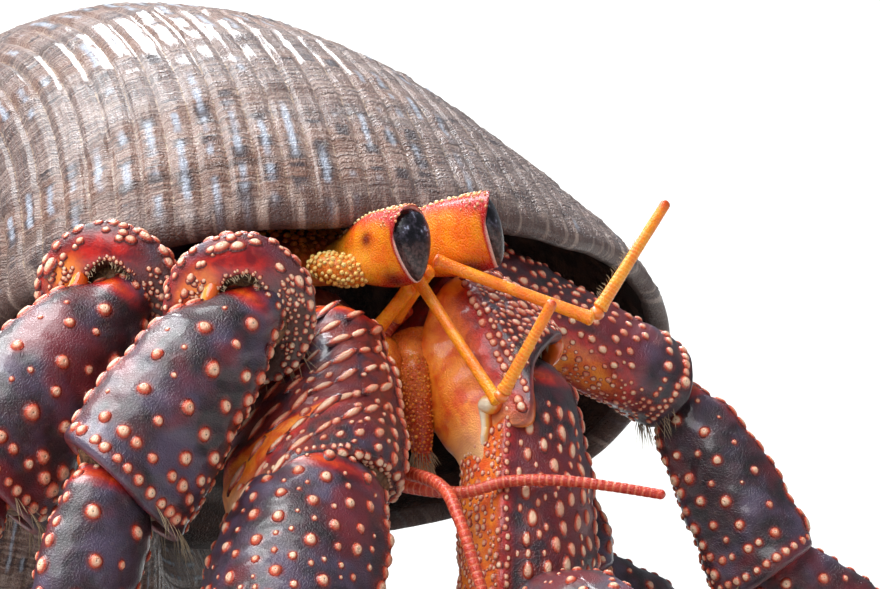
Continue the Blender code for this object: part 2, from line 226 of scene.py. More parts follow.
def closed_mark(field):
    """A mark's values on such a tube: those of the grid, then one for the middle of each fan."""
    return np.concatenate([field.ravel(), field[0, :1], field[-1, :1]])


print("a grid of 3 by 4 points has", len(grid_faces(3, 4)), "faces")

# %% Make pieces
CRAB = bpy.data.collections.new("hermit_crab")
bpy.context.scene.collection.children.link(CRAB)
TINY = 1e-9  # keeps a division by a length safe where two points meet


def piece(name, points, faces, finish, replaces=(), slot=None, marks=None):
    """One mesh piece of the crab, from points in millimetres, that rides with it."""
    mesh = bpy.data.meshes.new(name)
    mesh.vertices.add(len(points))
    mesh.vertices.foreach_set("co", (np.asarray(points) * MM).astype(np.float32).ravel())
    sizes = np.concatenate([np.full(len(part), part.shape[1]) for part in faces])
    corners = np.concatenate([part.ravel() for part in faces])
    mesh.loops.add(len(corners))
    mesh.loops.foreach_set("vertex_index", corners.astype(np.int32))
    mesh.polygons.add(len(sizes))
    mesh.polygons.foreach_set("loop_start", (np.cumsum(sizes) - sizes).astype(np.int32))
    mesh.update(calc_edges=True)
    mesh.shade_smooth()
    for mark, values in (marks or {}).items():
        layer = mesh.attributes.new(mark, "FLOAT", "POINT")
        layer.data.foreach_set("value", np.asarray(values, np.float32).ravel())
    mesh.materials.append(finish)
    made = bpy.data.objects.new(name, mesh)
    CRAB.objects.link(made)
    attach(made, "root")
    if replaces:
        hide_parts(*replaces)
    return made


class Bunch:
    """Many small shapes gathered into one piece."""

    def __init__(self, *marks):
        self.points, self.faces, self.count = [], [], 0
        self.marks = {mark: [] for mark in marks}

    def add(self, points, faces, **marks):
        self.points.append(points)
        self.faces += [part + self.count for part in faces]
        self.count += len(points)
        for mark, values in self.marks.items():
            values.append(np.broadcast_to(marks.get(mark, 0.0), len(points)))

    def make(self, name, finish, **rest):
        marks = {mark: np.concatenate(values) for mark, values in self.marks.items()}
        return piece(name, np.concatenate(self.points), self.faces, finish, marks=marks, **rest)


def outward(grid):
    """The unit normals and the row-wise tangents of a closed grid of points (rows, columns, 3)."""
    along = np.gradient(grid, axis=0)
    normal = np.cross((np.roll(grid, -1, 1) - np.roll(grid, 1, 1)) / 2, along)
    return [way / (np.linalg.norm(way, axis=2, keepdims=True) + TINY) for way in (normal, along)]


print("pieces go into the collection", CRAB.name)

# %% [markdown]
# ## Tools for the finishes
#
# The finishes are procedural, so they hold at any distance and on every side. A few one-line
# helpers keep the node trees readable. Patterns use the object's own coordinates, which here are
# the crab's, so the grain is the same size on every piece.

# %% Short names for shader nodes
def tone(red, green, blue):
    """A colour from the everyday 0-255 scale, as the linear values that shaders take."""
    shares = np.array((red, green, blue)) / 255
    return (*np.where(shares <= 0.04, shares / 12.92, ((shares + 0.055) / 1.055) ** 2.4), 1.0)


class Tree:
    """A node tree with one short call for each kind of node that the finishes use."""

    def __init__(self, tree):
        self.tree = tree

    def add(self, kind, feeds=(), **settings):
        made = self.tree.nodes.new(kind)
        for key, value in settings.items():
            setattr(made, key, value)
        for socket, value in dict(feeds).items():
            self.feed(made.inputs[socket], value)
        return made

    def feed(self, socket, value):
        """Links a socket or sets its plain value; three numbers are a colour on the 0-255 scale."""
        if isinstance(value, bpy.types.NodeSocket):
            self.tree.links.new(value, socket)
            return
        socket.default_value = tone(*value) if isinstance(value, tuple) and len(value) == 3 else value

    def mark(self, name):
        return self.add("ShaderNodeAttribute", attribute_name=name).outputs["Fac"]

    def where(self):
        return self.add("ShaderNodeTexCoord").outputs["Object"]

    def maths(self, kind, first, second=0.0):
        return self.add("ShaderNodeMath", {0: first, 1: second}, operation=kind).outputs[0]

    def times(self, first, second):
        return self.maths("MULTIPLY", first, second)

    def plus(self, first, second):
        return self.maths("ADD", first, second)

    def minus(self, first, second):
        return self.maths("SUBTRACT", first, second)

    def noise(self, place, scale, detail=3.0, roughness=0.55, twist=0.0):
        feeds = {"Vector": place, "Scale": scale, "Detail": detail, "Roughness": roughness,
                 "Distortion": twist}
        return self.add("ShaderNodeTexNoise", feeds).outputs["Fac"]

    def step(self, value, low, high, bottom=0.0, top=1.0):
        """A soft step from bottom to top as value goes from low to high."""
        feeds = {"Value": value, "From Min": low, "From Max": high, "To Min": bottom, "To Max": top}
        return self.add("ShaderNodeMapRange", feeds, interpolation_type="SMOOTHSTEP").outputs["Result"]

    def between(self, value, bottom, top):
        """Turns a value of 0 to 1 into one from bottom to top."""
        return self.step(value, 0.0, 1.0, bottom, top)

    def mix(self, share, first, second):
        """A Mix node; its sockets 0, 6 and 7 are the share and the two colours."""
        feeds = {0: share, 6: first, 7: second}
        return self.add("ShaderNodeMix", feeds, data_type="RGBA", clamp_factor=True).outputs[2]

    def coats(self, colour, *coats):
        """Lays coats over a ground colour, one after the other: each is (where it shows, its colour)."""
        for share, over in coats:
            colour = self.mix(share, colour, over)
        return colour

    def place(self, x, y, z):
        return self.add("ShaderNodeCombineXYZ", {"X": x, "Y": y, "Z": z}).outputs["Vector"]


print("a warm grey is", np.round(tone(128, 120, 110), 3), "in linear light")

# %% Start a finish or a group
def new_finish(name, rough, coat=(), soft=(), **more):
    """A new material's tree: coat is a clear coat's weight and roughness, soft is how much light sinks
    in and how deep in metres, and more names other sockets of its Principled shader."""
    made = bpy.data.materials.new(name)
    made.use_nodes = True
    tree = Tree(made.node_tree)
    tree.made, tree.shader = made, made.node_tree.nodes["Principled BSDF"]
    values = {"Roughness": rough, **more, **dict(zip(("Coat_Weight", "Coat_Roughness"), coat)),
              **dict(zip(("Subsurface_Weight", "Subsurface_Scale"), soft))}
    for socket, value in values.items():
        tree.shader.inputs[socket.replace("_", " ")].default_value = value
    return tree


def new_group(name, inputs, outputs):
    """An empty shader group with float inputs and outputs, and its inner nodes."""
    group = bpy.data.node_groups.new(name, "ShaderNodeTree")
    for socket, value in inputs.items():
        made = group.interface.new_socket(socket, in_out="INPUT", socket_type="NodeSocketFloat")
        made.default_value = value
    for socket in outputs:
        group.interface.new_socket(socket, in_out="OUTPUT", socket_type="NodeSocketFloat")
    tree = Tree(group)
    return group, tree, tree.add("NodeGroupInput"), tree.add("NodeGroupOutput")


def use_group(tree, group, **values):
    """Places a group in a finish, with its own values, and gives its outputs."""
    return list(tree.add("ShaderNodeGroup", values, node_tree=group).outputs)


def dress(tree, colour, rough, height, depth):
    """Feeds a finish its colour, its roughness, and a height of 0 to 1 times a depth in metres."""
    raised = tree.add("ShaderNodeBump", {"Height": height, "Distance": depth}).outputs["Normal"]
    for socket, value in (("Base Color", colour), ("Roughness", rough), ("Normal", raised)):
        if value is not None:
            tree.feed(tree.shader.inputs[socket], value)
    return tree.made


print("materials so far:", len(bpy.data.materials))

# %% [markdown]
# ## Two effects that many finishes share
#
# Crab armour is chitin: smooth, but with fine pores and a slow cloudy drift of colour. The first
# group gives that pore height and that cloud. The second gives the thin pale dust and scratches
# that collect on anything that walks through sand. Each is a node group, built once, so that one
# change to it reaches every finish.

# %% The chitin grain group
def chitin_group():
    group, tree, inside, outside = new_group("chitin_grain", {"Cloud size": 900.0, "Pore size": 5200.0},
                                             ("Height", "Cloud", "Speck"))
    place, pore = tree.where(), inside.outputs["Pore size"]
    cloud = tree.noise(place, inside.outputs["Cloud size"], 4.0, 0.6, 0.4)
    pores = tree.noise(place, tree.times(pore, 1.7), 2.0, 0.5)
    speck = tree.noise(place, tree.times(pore, 0.62), 1.0)
    for socket, value in (("Height", tree.step(pores, 0.35, 0.62)), ("Cloud", tree.step(cloud, 0.32, 0.68)),
                          ("Speck", tree.step(speck, 0.62, 0.72))):
        tree.feed(outside.inputs[socket], value)
    return group


CHITIN = chitin_group()


def chitin(tree, **sizes):
    """The grain in a finish: its pores, its cloud and its speck."""
    return use_group(tree, CHITIN, **sizes)


print("group", CHITIN.name, "gives", [s.name for s in CHITIN.interface.items_tree if s.in_out == "OUTPUT"])

# %% The dust group
def dust_group():
    group, tree, inside, outside = new_group("sand_dust", {"Amount": 0.5, "Scale": 2600.0}, ("Mask",))
    place, scale = tree.where(), inside.outputs["Scale"]
    fine = tree.step(tree.noise(place, scale, 5.0, 0.7), 0.55, 0.75)
    patch = tree.step(tree.noise(place, tree.times(scale, 0.12), 2.0), 0.42, 0.62)
    tree.feed(outside.inputs["Mask"], tree.times(tree.times(fine, patch), inside.outputs["Amount"]))
    return group


DUST = dust_group()


def dust(tree, **amounts):
    """Where the dust lies in a finish."""
    return use_group(tree, DUST, **amounts)[0]


print("group", DUST.name, "gives", [s.name for s in DUST.interface.items_tree if s.in_out == "OUTPUT"])

# %% [markdown]
# ## The leg armour
#
# A leg plate is dark wine purple with slate-grey patches of painted sheen, its rims are polished
# blood red that burns to orange, and a red stain surrounds every pearl. Marks on the mesh say
# where: rim, warm, halo and inside. A clear coat gives the wet shine of living chitin.

# %% The plate finish
def plate_finish():
    tree = new_finish("plate_dark", 0.4, coat=(0.35, 0.12), Specular_IOR_Level=0.6)
    pores, cloud, speck = chitin(tree)
    rim, warm = tree.mark("rim"), tree.mark("warm")
    # Slate-grey patches in the colour are painted sheen, standing in for the lamps' reflection; the same
    # noise lifts the bump a little.
    painted_sheen_patch = tree.step(tree.noise(tree.where(), 240.0, 3.0, 0.6), 0.44, 0.68)
    wine = tree.noise(tree.where(), 190.0, 2.0)
    orange = tree.mix(cloud, (232, 84, 16), (255, 150, 38))
    red = tree.mix(cloud, (122, 12, 20), (204, 32, 22))
    colour = tree.coats(
        tree.mix(cloud, (20, 9, 16), (56, 26, 38)),
        # painted sheen: the slate-grey patches
        (tree.times(painted_sheen_patch, 0.6), (98, 84, 112)),
        (tree.step(wine, 0.5, 0.66, 0.0, 0.8), (118, 26, 38)),
        (tree.step(tree.mark("halo"), 0.1, 1.0, 0.0, 0.85), (130, 34, 26)),
        (tree.mark("shade"), (88, 58, 50)),
        (tree.step(warm, 0.1, 0.55), red),
        (tree.step(warm, 0.5, 0.95), orange),
        (tree.step(rim, 0.1, 0.8), tree.mix(tree.step(warm, 0.2, 0.8), red, orange)),
        (tree.mark("pale"), (244, 208, 150)),
        (tree.mark("inside"), (70, 40, 28)),
        (dust(tree, Amount=0.3), (160, 128, 108)),
        (tree.mark("horn"), (18, 14, 16)))
    rough = tree.mix(rim, tree.between(speck, 0.38, 0.52), (0.22, 0.22, 0.22, 1))
    height = tree.plus(tree.times(pores, tree.step(rim, 0.0, 0.7, 1.0, 0.2)), tree.times(painted_sheen_patch, 0.5))
    return dress(tree, colour, rough, height, 0.000024)


PLATE = plate_finish()
print("finish", PLATE.name, "has", len(PLATE.node_tree.nodes), "nodes")

# %% The pearl finish
def pearl_finish():
    tree = new_finish("pearl_peach", 0.32, coat=(0.3, 0.1), soft=(0.15, 0.0006),
                      Subsurface_Radius=(1.0, 0.35, 0.15))
    pores, _, speck = chitin(tree)
    rise = tree.mark("rise")
    colour = tree.coats(
        tree.mix(tree.step(rise, 0.02, 0.25), (84, 16, 18), (196, 62, 30)),
        (tree.step(rise, 0.25, 0.9), tree.mix(tree.mark("tint"), (226, 140, 106), (246, 206, 172))),
        (tree.step(rise, 0.9, 1.12, 0.0, 0.5), (246, 214, 182)),
        (tree.step(rise, 1.2, 1.6), (70, 30, 20)),
        (tree.times(speck, 0.3), (150, 90, 60)))
    return dress(tree, colour, tree.between(pores, 0.26, 0.4), pores, 0.00003)


PEARL = pearl_finish()
print("finish", PEARL.name, "has", len(PEARL.node_tree.nodes), "nodes")

# %% The membrane, knuckle and bristle finishes
def membrane_finish():
    tree = new_finish("joint_membrane", 0.5, soft=(0.2, 0.0008))
    _, cloud, speck = chitin(tree)
    wrinkle = tree.noise(tree.where(), 1500.0, 4.0, 0.65, 1.2)
    colour = tree.coats(tree.mix(tree.step(wrinkle, 0.35, 0.65), (74, 44, 30), (150, 108, 72)),
                        (tree.times(speck, 0.6), (52, 28, 20)))
    return dress(tree, colour, tree.between(cloud, 0.38, 0.6), wrinkle, 0.00025)


def knuckle_finish():
    tree = new_finish("knuckle_enamel", 0.16, coat=(0.5, 0.06), soft=(0.2, 0.0008))
    _, cloud, _ = chitin(tree)
    rise = tree.mark("rise")
    colour = tree.coats(tree.mix(tree.step(rise, 0.15, 0.6), (226, 92, 20), (250, 176, 72)),
                        (tree.step(rise, 0.6, 1.0), (255, 240, 206)),
                        (tree.times(cloud, 0.25), (222, 120, 50)))
    return dress(tree, colour, tree.between(cloud, 0.12, 0.24), cloud, 0.00004)


def bristle_finish():
    tree = new_finish("bristle_straw", 0.42)
    pores, cloud, _ = chitin(tree)
    colour = tree.coats(tree.mix(tree.mark("rise"), (112, 76, 48), (216, 190, 150)),
                        (tree.times(cloud, 0.25), (220, 200, 170)))
    return dress(tree, colour, tree.between(pores, 0.35, 0.5), pores, 0.00002)


MEMBRANE, KNUCKLE, BRISTLE = membrane_finish(), knuckle_finish(), bristle_finish()
print("small finishes:", [finish.name for finish in (MEMBRANE, KNUCKLE, BRISTLE)])

# %% [markdown]
# ## The borrowed shell
#
# The shell is one tube coiled round an axis, a little larger at every turn, so it can be written
# as a formula: a phase round the tube's section, and an angle along the coil. The frame's shell
# follows the same growth. Here the section is drawn much finer, so that the raised spiral cords
# (about 1.8 mm apart at the lip) are real ridges, and old growth edges are real steps.

# %% The coil's own shape
# Lengths are in millimetres. The apex is set out from the low corner of the shell's box.
APEX = np.array(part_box("shell")[0]) / MM + (-1.24, 43.51, 32.8)
# The coil's axis: its compass heading, its rise, its spin about itself, and the section's tilt.
HEADING, RISE, SPIN, TILT = (math.radians(v) for v in (158.7, 20.2, 49.7, 5.6))
GROWTH = 2.1  # how much larger the tube is after one turn
TUBE_CENTRE, TUBE_RADIAL, TUBE_AXIAL, TUBE_DROP = 15.6, 18.9, 27.7, 50.8
SHOULDER, SKEW = 0.066, 0.018
LIP_SWEEP, LIP_LEAN, LIP_WAVE = 0.42, 0.11, -0.058
CORE = 0.9
WALL = 1.6
CORD_PITCH, CORD_RISE = 1.8, 0.34
CORD_FLAT, CORD_SIDE = 0.62, 0.34  # shares of a cord's half width: its flat top and its flank
BODY_START, SPIRE_START = math.radians(-300), math.radians(-1500)
OUTER_REACH = TUBE_CENTRE + TUBE_RADIAL


def coil_axes():
    apex = np.array((math.cos(RISE) * math.cos(HEADING), math.cos(RISE) * math.sin(HEADING), math.sin(RISE)))
    upright = unit(UP - apex * apex[2])
    flat = np.cross(upright, apex)
    first = flat * math.cos(SPIN) + upright * math.sin(SPIN)
    second = upright * math.cos(SPIN) - flat * math.sin(SPIN)
    return np.array((first, second, apex))


COIL = coil_axes()


def lip_angle(phase):
    ripple = 0.004 * np.sin(9 * phase) + 0.0025 * np.sin(23 * phase + 1.0)
    return LIP_SWEEP * np.sin(phase) + LIP_LEAN * np.cos(phase) + LIP_WAVE * np.sin(2 * phase) + ripple


def section(phase, inset=0.0, core=CORE):
    """The tube's section at the lip: distance from the coil's axis, and place along it."""
    bulge = 1 + SKEW * np.sin(2 * phase) + SHOULDER * np.sin(3 * phase)
    across = (TUBE_RADIAL - inset) * bulge * np.cos(phase)
    along = (TUBE_AXIAL - inset) * bulge * np.sin(phase)
    radial = TUBE_CENTRE + across * math.cos(TILT) - along * math.sin(TILT)
    return np.maximum(radial, core), -TUBE_DROP + across * math.sin(TILT) + along * math.cos(TILT)


def on_coil(angle, radial, axial):
    local = np.stack([radial * np.cos(angle), -radial * np.sin(angle), axial + 0 * angle], -1)
    return APEX + local @ COIL


def tube(angle, phase, inset=0.0, core=CORE):
    radial, axial = section(phase, inset, core)
    size = GROWTH ** (angle / math.tau)
    return on_coil(angle, radial * size, axial * size)


print("the lip's section is", round(2 * TUBE_AXIAL, 1), "by", round(2 * TUBE_RADIAL, 1), "mm")

# %% Cords and growth edges
def spaced_phases(fine, coarse):
    """Phases round the section: close together where the shell shows, and wide where it's hidden."""
    phase = np.linspace(-math.pi * 0.72, math.pi * 1.28, 4001)
    radial, axial = section(phase, core=-99.0)
    travel = np.concatenate([[0], np.cumsum(np.hypot(np.diff(radial), np.diff(axial)))])
    shows = (phase > math.radians(-115)) & (phase < math.radians(142))
    share = np.cumsum(np.where(shows, 1 / fine, 1 / coarse) * np.gradient(travel))
    picks = np.linspace(share[0], share[-1], int(share[-1] - share[0]), endpoint=False)
    return np.interp(picks, share, phase), np.interp(picks, share, travel) / CORD_PITCH


def growth_distance(place):
    """How far a point lies behind the lip, along the shell's outside, by its place from 0 to 1."""
    return OUTER_REACH * math.tau / math.log(GROWTH) * (1 - GROWTH ** ((place - 1) * -BODY_START / math.tau))


# Old growth edges: how far behind the lip, and how high.
GROWTH_EDGES = ((2.6, 0.16), (5.4, 0.12), (9.5, 0.2), (13.5, 0.12), (17.0, 0.18), (24.0, 0.2), (31.0, 0.15),
                (40.0, 0.22), (52.0, 0.18), (64.0, 0.2), (80.0, 0.2), (97.0, 0.2), (118.0, 0.2))


def relief(cord, grow):
    """How far the surface stands proud: flat-topped cords, and a step at each old growth edge."""
    share = np.abs(cord % 1 - 0.5) * 2
    top = 1 - np.clip((share - CORD_FLAT) / CORD_SIDE, 0, 1) ** 2
    waver = 0.86 + 0.14 * np.sin(grow * 1.9 + np.floor(cord) * 2.4)
    proud = CORD_RISE * top * waver
    for edge, height in GROWTH_EDGES:
        past = grow - edge - 0.9 * np.sin(cord * 0.31 + edge) - 0.35 * np.sin(cord * 1.13 + 2 * edge)
        proud = proud + height * np.exp(np.where(past > 0, -past / 1.6, past / 0.12))
    fade = np.clip(grow / 1.4, 0, 1)
    finer = 0.035 * np.cos(cord * 4 * math.tau) + 0.05 * np.sin(grow * 7.1 + cord * 0.8)
    finer = finer + 0.05 * np.sin(grow * 3.3 + 4.1 * np.sin(np.floor(cord) * 1.7)) * (1 - share)
    return proud * (0.35 + 0.65 * fade) + finer


print("the body whorl is", round(float(growth_distance(0.0)), 1), "mm long on its outside")

# %% [markdown]
# ### Its finish
#
# The cords are mauve brown. Along each one lie blue-white dashes and grey-brown cells in loose
# bands that follow the growth lines, and thin cream threads run between the cords. Each cord gets
# its own run of dashes, because the pattern is read from the cord's number and the growth distance.

# %% The shell finish
def shell_finish():
    tree = new_finish("shell_rib", 0.5, coat=(0.3, 0.12))
    pores, cloud, _ = chitin(tree, **{"Cloud size": 420.0, "Pore size": 4200.0})
    cord, grow, inside, lip = (tree.mark(name) for name in ("cord", "grow", "inside", "lip"))
    number = tree.maths("FLOOR", cord)
    across = tree.maths("ABSOLUTE", tree.minus(tree.minus(cord, number), 0.5))
    finer = tree.maths("ABSOLUTE", tree.minus(tree.maths("FRACT", tree.times(cord, 4.0)), 0.5))

    def pattern(count, by_cord, by_growth, seed, *how):
        """Noise drawn out along the cords; a seed gives each pattern its own."""
        place = tree.place(tree.times(count, by_cord), tree.times(grow, by_growth), seed)
        return tree.noise(place, 1.0, *how)

    band = pattern(cord, 0.07, 0.11, 9.0)
    lamella = pattern(cord, 0.45, 4.2, 2.0, 3.0, 0.6, 0.15)
    edge = pattern(cord, 0.05, 0.42, 17.0, 1.0)
    streak = pattern(cord, 1.6, 0.2, 0.0, 2.0)
    wobble = tree.noise(tree.place(tree.times(cord, 2.3), grow, 4.0), 1.0, 3.0, 0.7)
    lift = tree.step(band, 0.3, 0.7, -0.12, 0.12)
    core = tree.step(tree.plus(across, tree.times(wobble, 0.3)), 0.16, 0.36, 1.0, 0.0)
    dash = tree.times(tree.step(tree.plus(pattern(number, 7.31, 0.27, 0.0, 2.0), lift), 0.53, 0.64), core)
    frayed = tree.plus(lift, tree.times(tree.minus(wobble, 0.5), 0.22))
    flank = tree.step(tree.plus(across, tree.times(wobble, 0.4)), 0.36, 0.62, 1.0, 0.0)
    cell = tree.times(tree.step(tree.plus(pattern(number, 3.77, 0.6, 5.0, 3.0), frayed), 0.58, 0.65), flank)
    thread = tree.times(tree.step(across, 0.45, 0.49), tree.step(wobble, 0.42, 0.62))
    colour = tree.coats(
        tree.mix(cloud, (88, 70, 69), (146, 124, 118)),
        (tree.step(band, 0.46, 0.6, 0.0, 0.6), (140, 92, 66)),
        (tree.step(finer, 0.3, 0.48, 0.0, 0.5), (112, 62, 42)),
        (tree.step(lamella, 0.48, 0.6, 0.0, 0.5), (184, 162, 150)),
        (tree.times(cell, 0.85), (54, 44, 52)),
        (tree.times(dash, 0.85), (186, 194, 210)),
        (tree.times(thread, 0.55), (206, 180, 152)),
        (tree.step(lamella, 0.36, 0.43, 0.6, 0.0), (66, 50, 48)),
        (tree.step(edge, 0.6, 0.7, 0.0, 0.5), (74, 54, 46)),
        (tree.times(lip, 0.8), tree.mix(tree.step(streak, 0.5, 0.64), (92, 62, 54), (190, 164, 150))),
        (dust(tree, Amount=0.55, Scale=1500.0), (214, 204, 190)),
        # Painted shade: the inside of the shell is coloured dark brown, as the shade of its hollow
        (inside, tree.mix(cloud, (40, 24, 20), (92, 62, 50))))
    rough = tree.mix(inside, tree.step(lamella, 0.3, 0.7, 0.36, 0.62), (0.25, 0.25, 0.25, 1))
    lines = tree.times(lamella, tree.between(inside, 1.0, 0.1))
    return dress(tree, colour, rough, tree.plus(lines, tree.times(pores, 0.25)), 0.0004)


SHELL = shell_finish()
print("finish", SHELL.name, "has", len(SHELL.node_tree.nodes), "nodes")

# %% [markdown]
# ### Its surface
#
# The body whorl is hollow as far as the crab's body goes in, and round its mouth the wall turns over
# in a thick lip. The older whorls and the pillar inside are plain tubes. All are rows of points
# read from the coil, from the oldest growth to the lip, so the cords run on from whorl to whorl.

# %% Rows of the shell
BODY_ROWS, SPIRE_ROWS, LIP_STEPS = 200, 210, 8
HOLLOW_START = math.radians(-100)
# The inside wall's distance from the outside, by its place from the hollow's end to the lip.
HOLLOW = ((-0.06, 9.0), (0.0, 5.0), (0.12, 2.6), (0.3, WALL), (1.0, WALL))
PILLAR_DEPTHS = np.linspace(61.5, 26.0, 40)


def shell_rows(places, phase, cord):
    """Outer rows of the shell; place 0 is where the body whorl starts and 1 is the lip."""
    place = places[:, None]
    end = np.where(place > 0, lip_angle(phase)[None], 0.0)
    angle = BODY_START + place * (end - BODY_START)
    grow = growth_distance(place) + 0 * phase
    return tube(angle, phase[None] + 0 * place, -relief(cord[None], grow)), grow


def lip_rows(phase):
    """The thick rolled edge, from the outside over to the inside."""
    radial, _ = section(phase)
    rows = []
    for turn in np.linspace(0, math.pi, LIP_STEPS + 1)[1:]:
        ahead = WALL / 2 * math.sin(turn) / np.maximum(radial, 8.0)
        rows.append(tube(lip_angle(phase) + ahead, phase, WALL / 2 * (1 - math.cos(turn))))
    return np.array(rows)


def hollow_rows(phase):
    """The smooth inside wall, from the lip back to where the hollow closes."""
    places = np.linspace(1.0, HOLLOW[0][0], 60)[1:]
    inset = np.interp(places, *zip(*HOLLOW))[:, None]
    angle = HOLLOW_START + places[:, None] * (lip_angle(phase)[None] - HOLLOW_START)
    return tube(angle, phase[None] + 0 * angle, inset, CORE + 0.4)


def pillar_rows(columns=36):
    """The columella, a slim cone round the coil's axis."""
    around = turns(columns)[None]
    depth = PILLAR_DEPTHS[:, None]
    radius = np.minimum(0.3 * depth, 1.1 + 0.24 * (62.0 - depth))
    radius = radius * np.sqrt(np.clip((61.6 - depth) / 1.6, 0.02, 1))
    return on_coil(around + 0 * depth, radius + 0 * around, -depth + 0 * around)


print("the rolled lip has", LIP_STEPS, "rows, and the pillar", len(PILLAR_DEPTHS))

# %% Coil the shell
def coil_shell():
    phase, cord = spaced_phases(0.27, 1.3)
    places = np.linspace(0.0, 1.0, BODY_ROWS)
    body, grow = shell_rows(places, phase, cord)
    rolled, hollow = lip_rows(phase), hollow_rows(phase)
    rows = np.concatenate([body, rolled, hollow])
    rest = np.ones(len(rows) - BODY_ROWS)
    # The inside mark grows over the rolled lip and is full in the hollow: painted shade, darker the deeper in
    deep = np.concatenate([0 * places, np.linspace(0, 0.95, len(rolled)) ** 1.3, np.ones(len(hollow))])
    edge = np.append(np.clip((1.5 - growth_distance(places)) / 1.2, 0, 1), rest)
    marks = {"cord": np.broadcast_to(cord, rows.shape[:2]),
             "grow": np.vstack([grow, 0 * np.outer(rest, cord)]),
             "inside": deep[:, None] + 0 * cord,
             "lip": edge[:, None] + 0 * cord}
    bunch = Bunch(*marks)
    bunch.add(*closed_tube(rows), **{mark: closed_mark(field) for mark, field in marks.items()})
    # The pillar in the shell's mouth takes nearly the full painted shade of the hollow
    bunch.add(*closed_tube(pillar_rows(), False), inside=0.9, lip=1.0)
    made = bunch.make("shell_body_whorl", SHELL, replaces=("shell",), slot="shell_rib")
    print("body whorl:", len(made.data.polygons), "faces,", int(cord.max()), "cords")


def coil_spire():
    phase, cord = spaced_phases(0.5, 1.6)
    first = (SPIRE_START - BODY_START) / -BODY_START
    rows, grow = shell_rows(np.linspace(first, 0.0, SPIRE_ROWS), phase, cord)
    marks = {"cord": closed_mark(np.broadcast_to(cord, rows.shape[:2])), "grow": closed_mark(grow)}
    made = piece("shell_spire", *closed_tube(rows), SHELL, replaces=("shell",), slot="shell_rib", marks=marks)
    print("spire:", len(made.data.polygons), "faces")


coil_shell()
coil_spire()

# %% [markdown]
# ## Pearls and bristles
#
# Land hermit crabs wear hundreds of calcified beads. Each is a small dome on a red base ring, and
# the larger ones have a pit where a hair once stood. They crowd along crests and rims and thin
# out on the polished faces. One profile, turned and stretched, serves them all; they are strewn
# so that none touches the next, largest first, and joined into one piece per limb.

# %% Make pearls and bristles
# Each ring of a pearl: distance from its middle, height (both in pearl radii), and rise mark.
PEARL_RINGS = np.array(((1.5, -0.3, 0.0), (1.25, 0.0, 0.06), (1.02, 0.12, 0.2), (0.9, 0.32, 0.42),
                        (0.7, 0.52, 0.72), (0.42, 0.64, 0.95), (0.17, 0.66, 1.15)))
PIT_SIZE, BIG_PEARL = 0.3, 0.25
# The middle point on top, with a pit (above PIT_SIZE) and without: its height and its rise mark.
PIT_TOP, PLAIN_TOP = (0.5, 1.7), (0.68, 1.0)


def dome(spot, ring, rings, ripple=1.0):
    """The rings of a pearl or granule at a spot: (point, normal, long direction, size, stretch, tint)."""
    point, normal, long, size, stretch, _ = spot
    long = unit(long - normal * (long @ normal))
    side = np.cross(normal, long)
    flat = long * (np.cos(ring) * stretch * ripple)[:, None] + side * (np.sin(ring) * ripple)[:, None]
    shape = point + size * (rings[:, 0, None, None] * flat + rings[:, 1, None, None] * normal)
    return shape.reshape(-1, 3)


def dome_faces(rings, sides):
    """Faces of a dome: some rings of points, and one more point on top."""
    return [grid_faces(rings, sides), fan_faces(np.arange(sides) + (rings - 1) * sides, rings * sides)]


def add_pearls(bunch, spots, sides):
    ring = turns(sides)
    faces = dome_faces(len(PEARL_RINGS), sides)
    for spot in spots:
        point, normal, _, size, _, tint = spot
        shape = dome(spot, ring, PEARL_RINGS, 1 + 0.05 * np.sin(3 * ring + tint * 20))
        height, rise = PIT_TOP if size > PIT_SIZE else PLAIN_TOP
        marks = np.minimum(np.append(np.repeat(PEARL_RINGS[:, 2], sides), rise), rise)
        bunch.add(np.vstack([shape, point + normal * size * height]), faces, rise=marks, tint=tint)


def add_bristles(bunch, roots, ways, length, width, droop=0.15):
    """Adds a thin bent hair at each root, pointing its own way."""
    ring = turns(3)
    faces = dome_faces(3, 3)
    for root, way in zip(roots, ways):
        long = length * chance.uniform(0.6, 1.15)
        side = unit(np.cross(way, UP + 0.3 * way[::-1]))
        other = np.cross(way, side)
        flat = side * np.cos(ring)[:, None] + other * np.sin(ring)[:, None]
        sag = -UP * droop * long
        middles = (root - way * 0.15, root + way * long * 0.45 + sag * 0.2,
                   root + way * long * 0.8 + sag * 0.6)
        shape = [middle + flat * width * fat for middle, fat in zip(middles, (1.0, 0.75, 0.4))]
        shape.append([root + way * long + sag])
        bunch.add(np.vstack(shape), faces, rise=np.repeat((0.0, 0.4, 0.8, 1.0), (3, 3, 3, 1)))


print("a pearl is", len(PEARL_RINGS), "rings high")

# %% [markdown]
# ### Where the pearls sit
#
# A pattern is a list of strings, each a line over the plate, and of zones that are filled at random.
# Both are given by u, from 0 at the plate's near end to 1 at its rim, and phi, the angle round it.

# %% Read a grid between its points
def travelled(path):
    """How far each point of a path is from its start, along the path."""
    return np.concatenate([[0], np.cumsum(np.linalg.norm(np.diff(path, axis=0), axis=1))])


def sample(grid, u, phi):
    """Reads a closed grid (rows, columns, n) between its points; u runs 0 to 1 and phi is an angle."""
    row = np.clip(np.asarray(u, float), 0, 1) * (len(grid) - 1)
    column = np.asarray(phi, float) % math.tau / math.tau * grid.shape[1]
    r0, c0 = np.minimum(row.astype(int), len(grid) - 2), column.astype(int) % grid.shape[1]
    c1 = (c0 + 1) % grid.shape[1]
    fr, fc = (row - r0)[:, None], (column - np.floor(column))[:, None]
    return ((grid[r0, c0] * (1 - fr) + grid[r0 + 1, c0] * fr) * (1 - fc)
            + (grid[r0, c1] * (1 - fr) + grid[r0 + 1, c1] * fr) * fc)


print("reading a grid half way:", sample(np.arange(8.0).reshape(2, 4, 1), [0.5], [math.pi])[0])

# %% Strew pearls over a surface
STRING_GAP = 0.92  # strung pearls all but touch


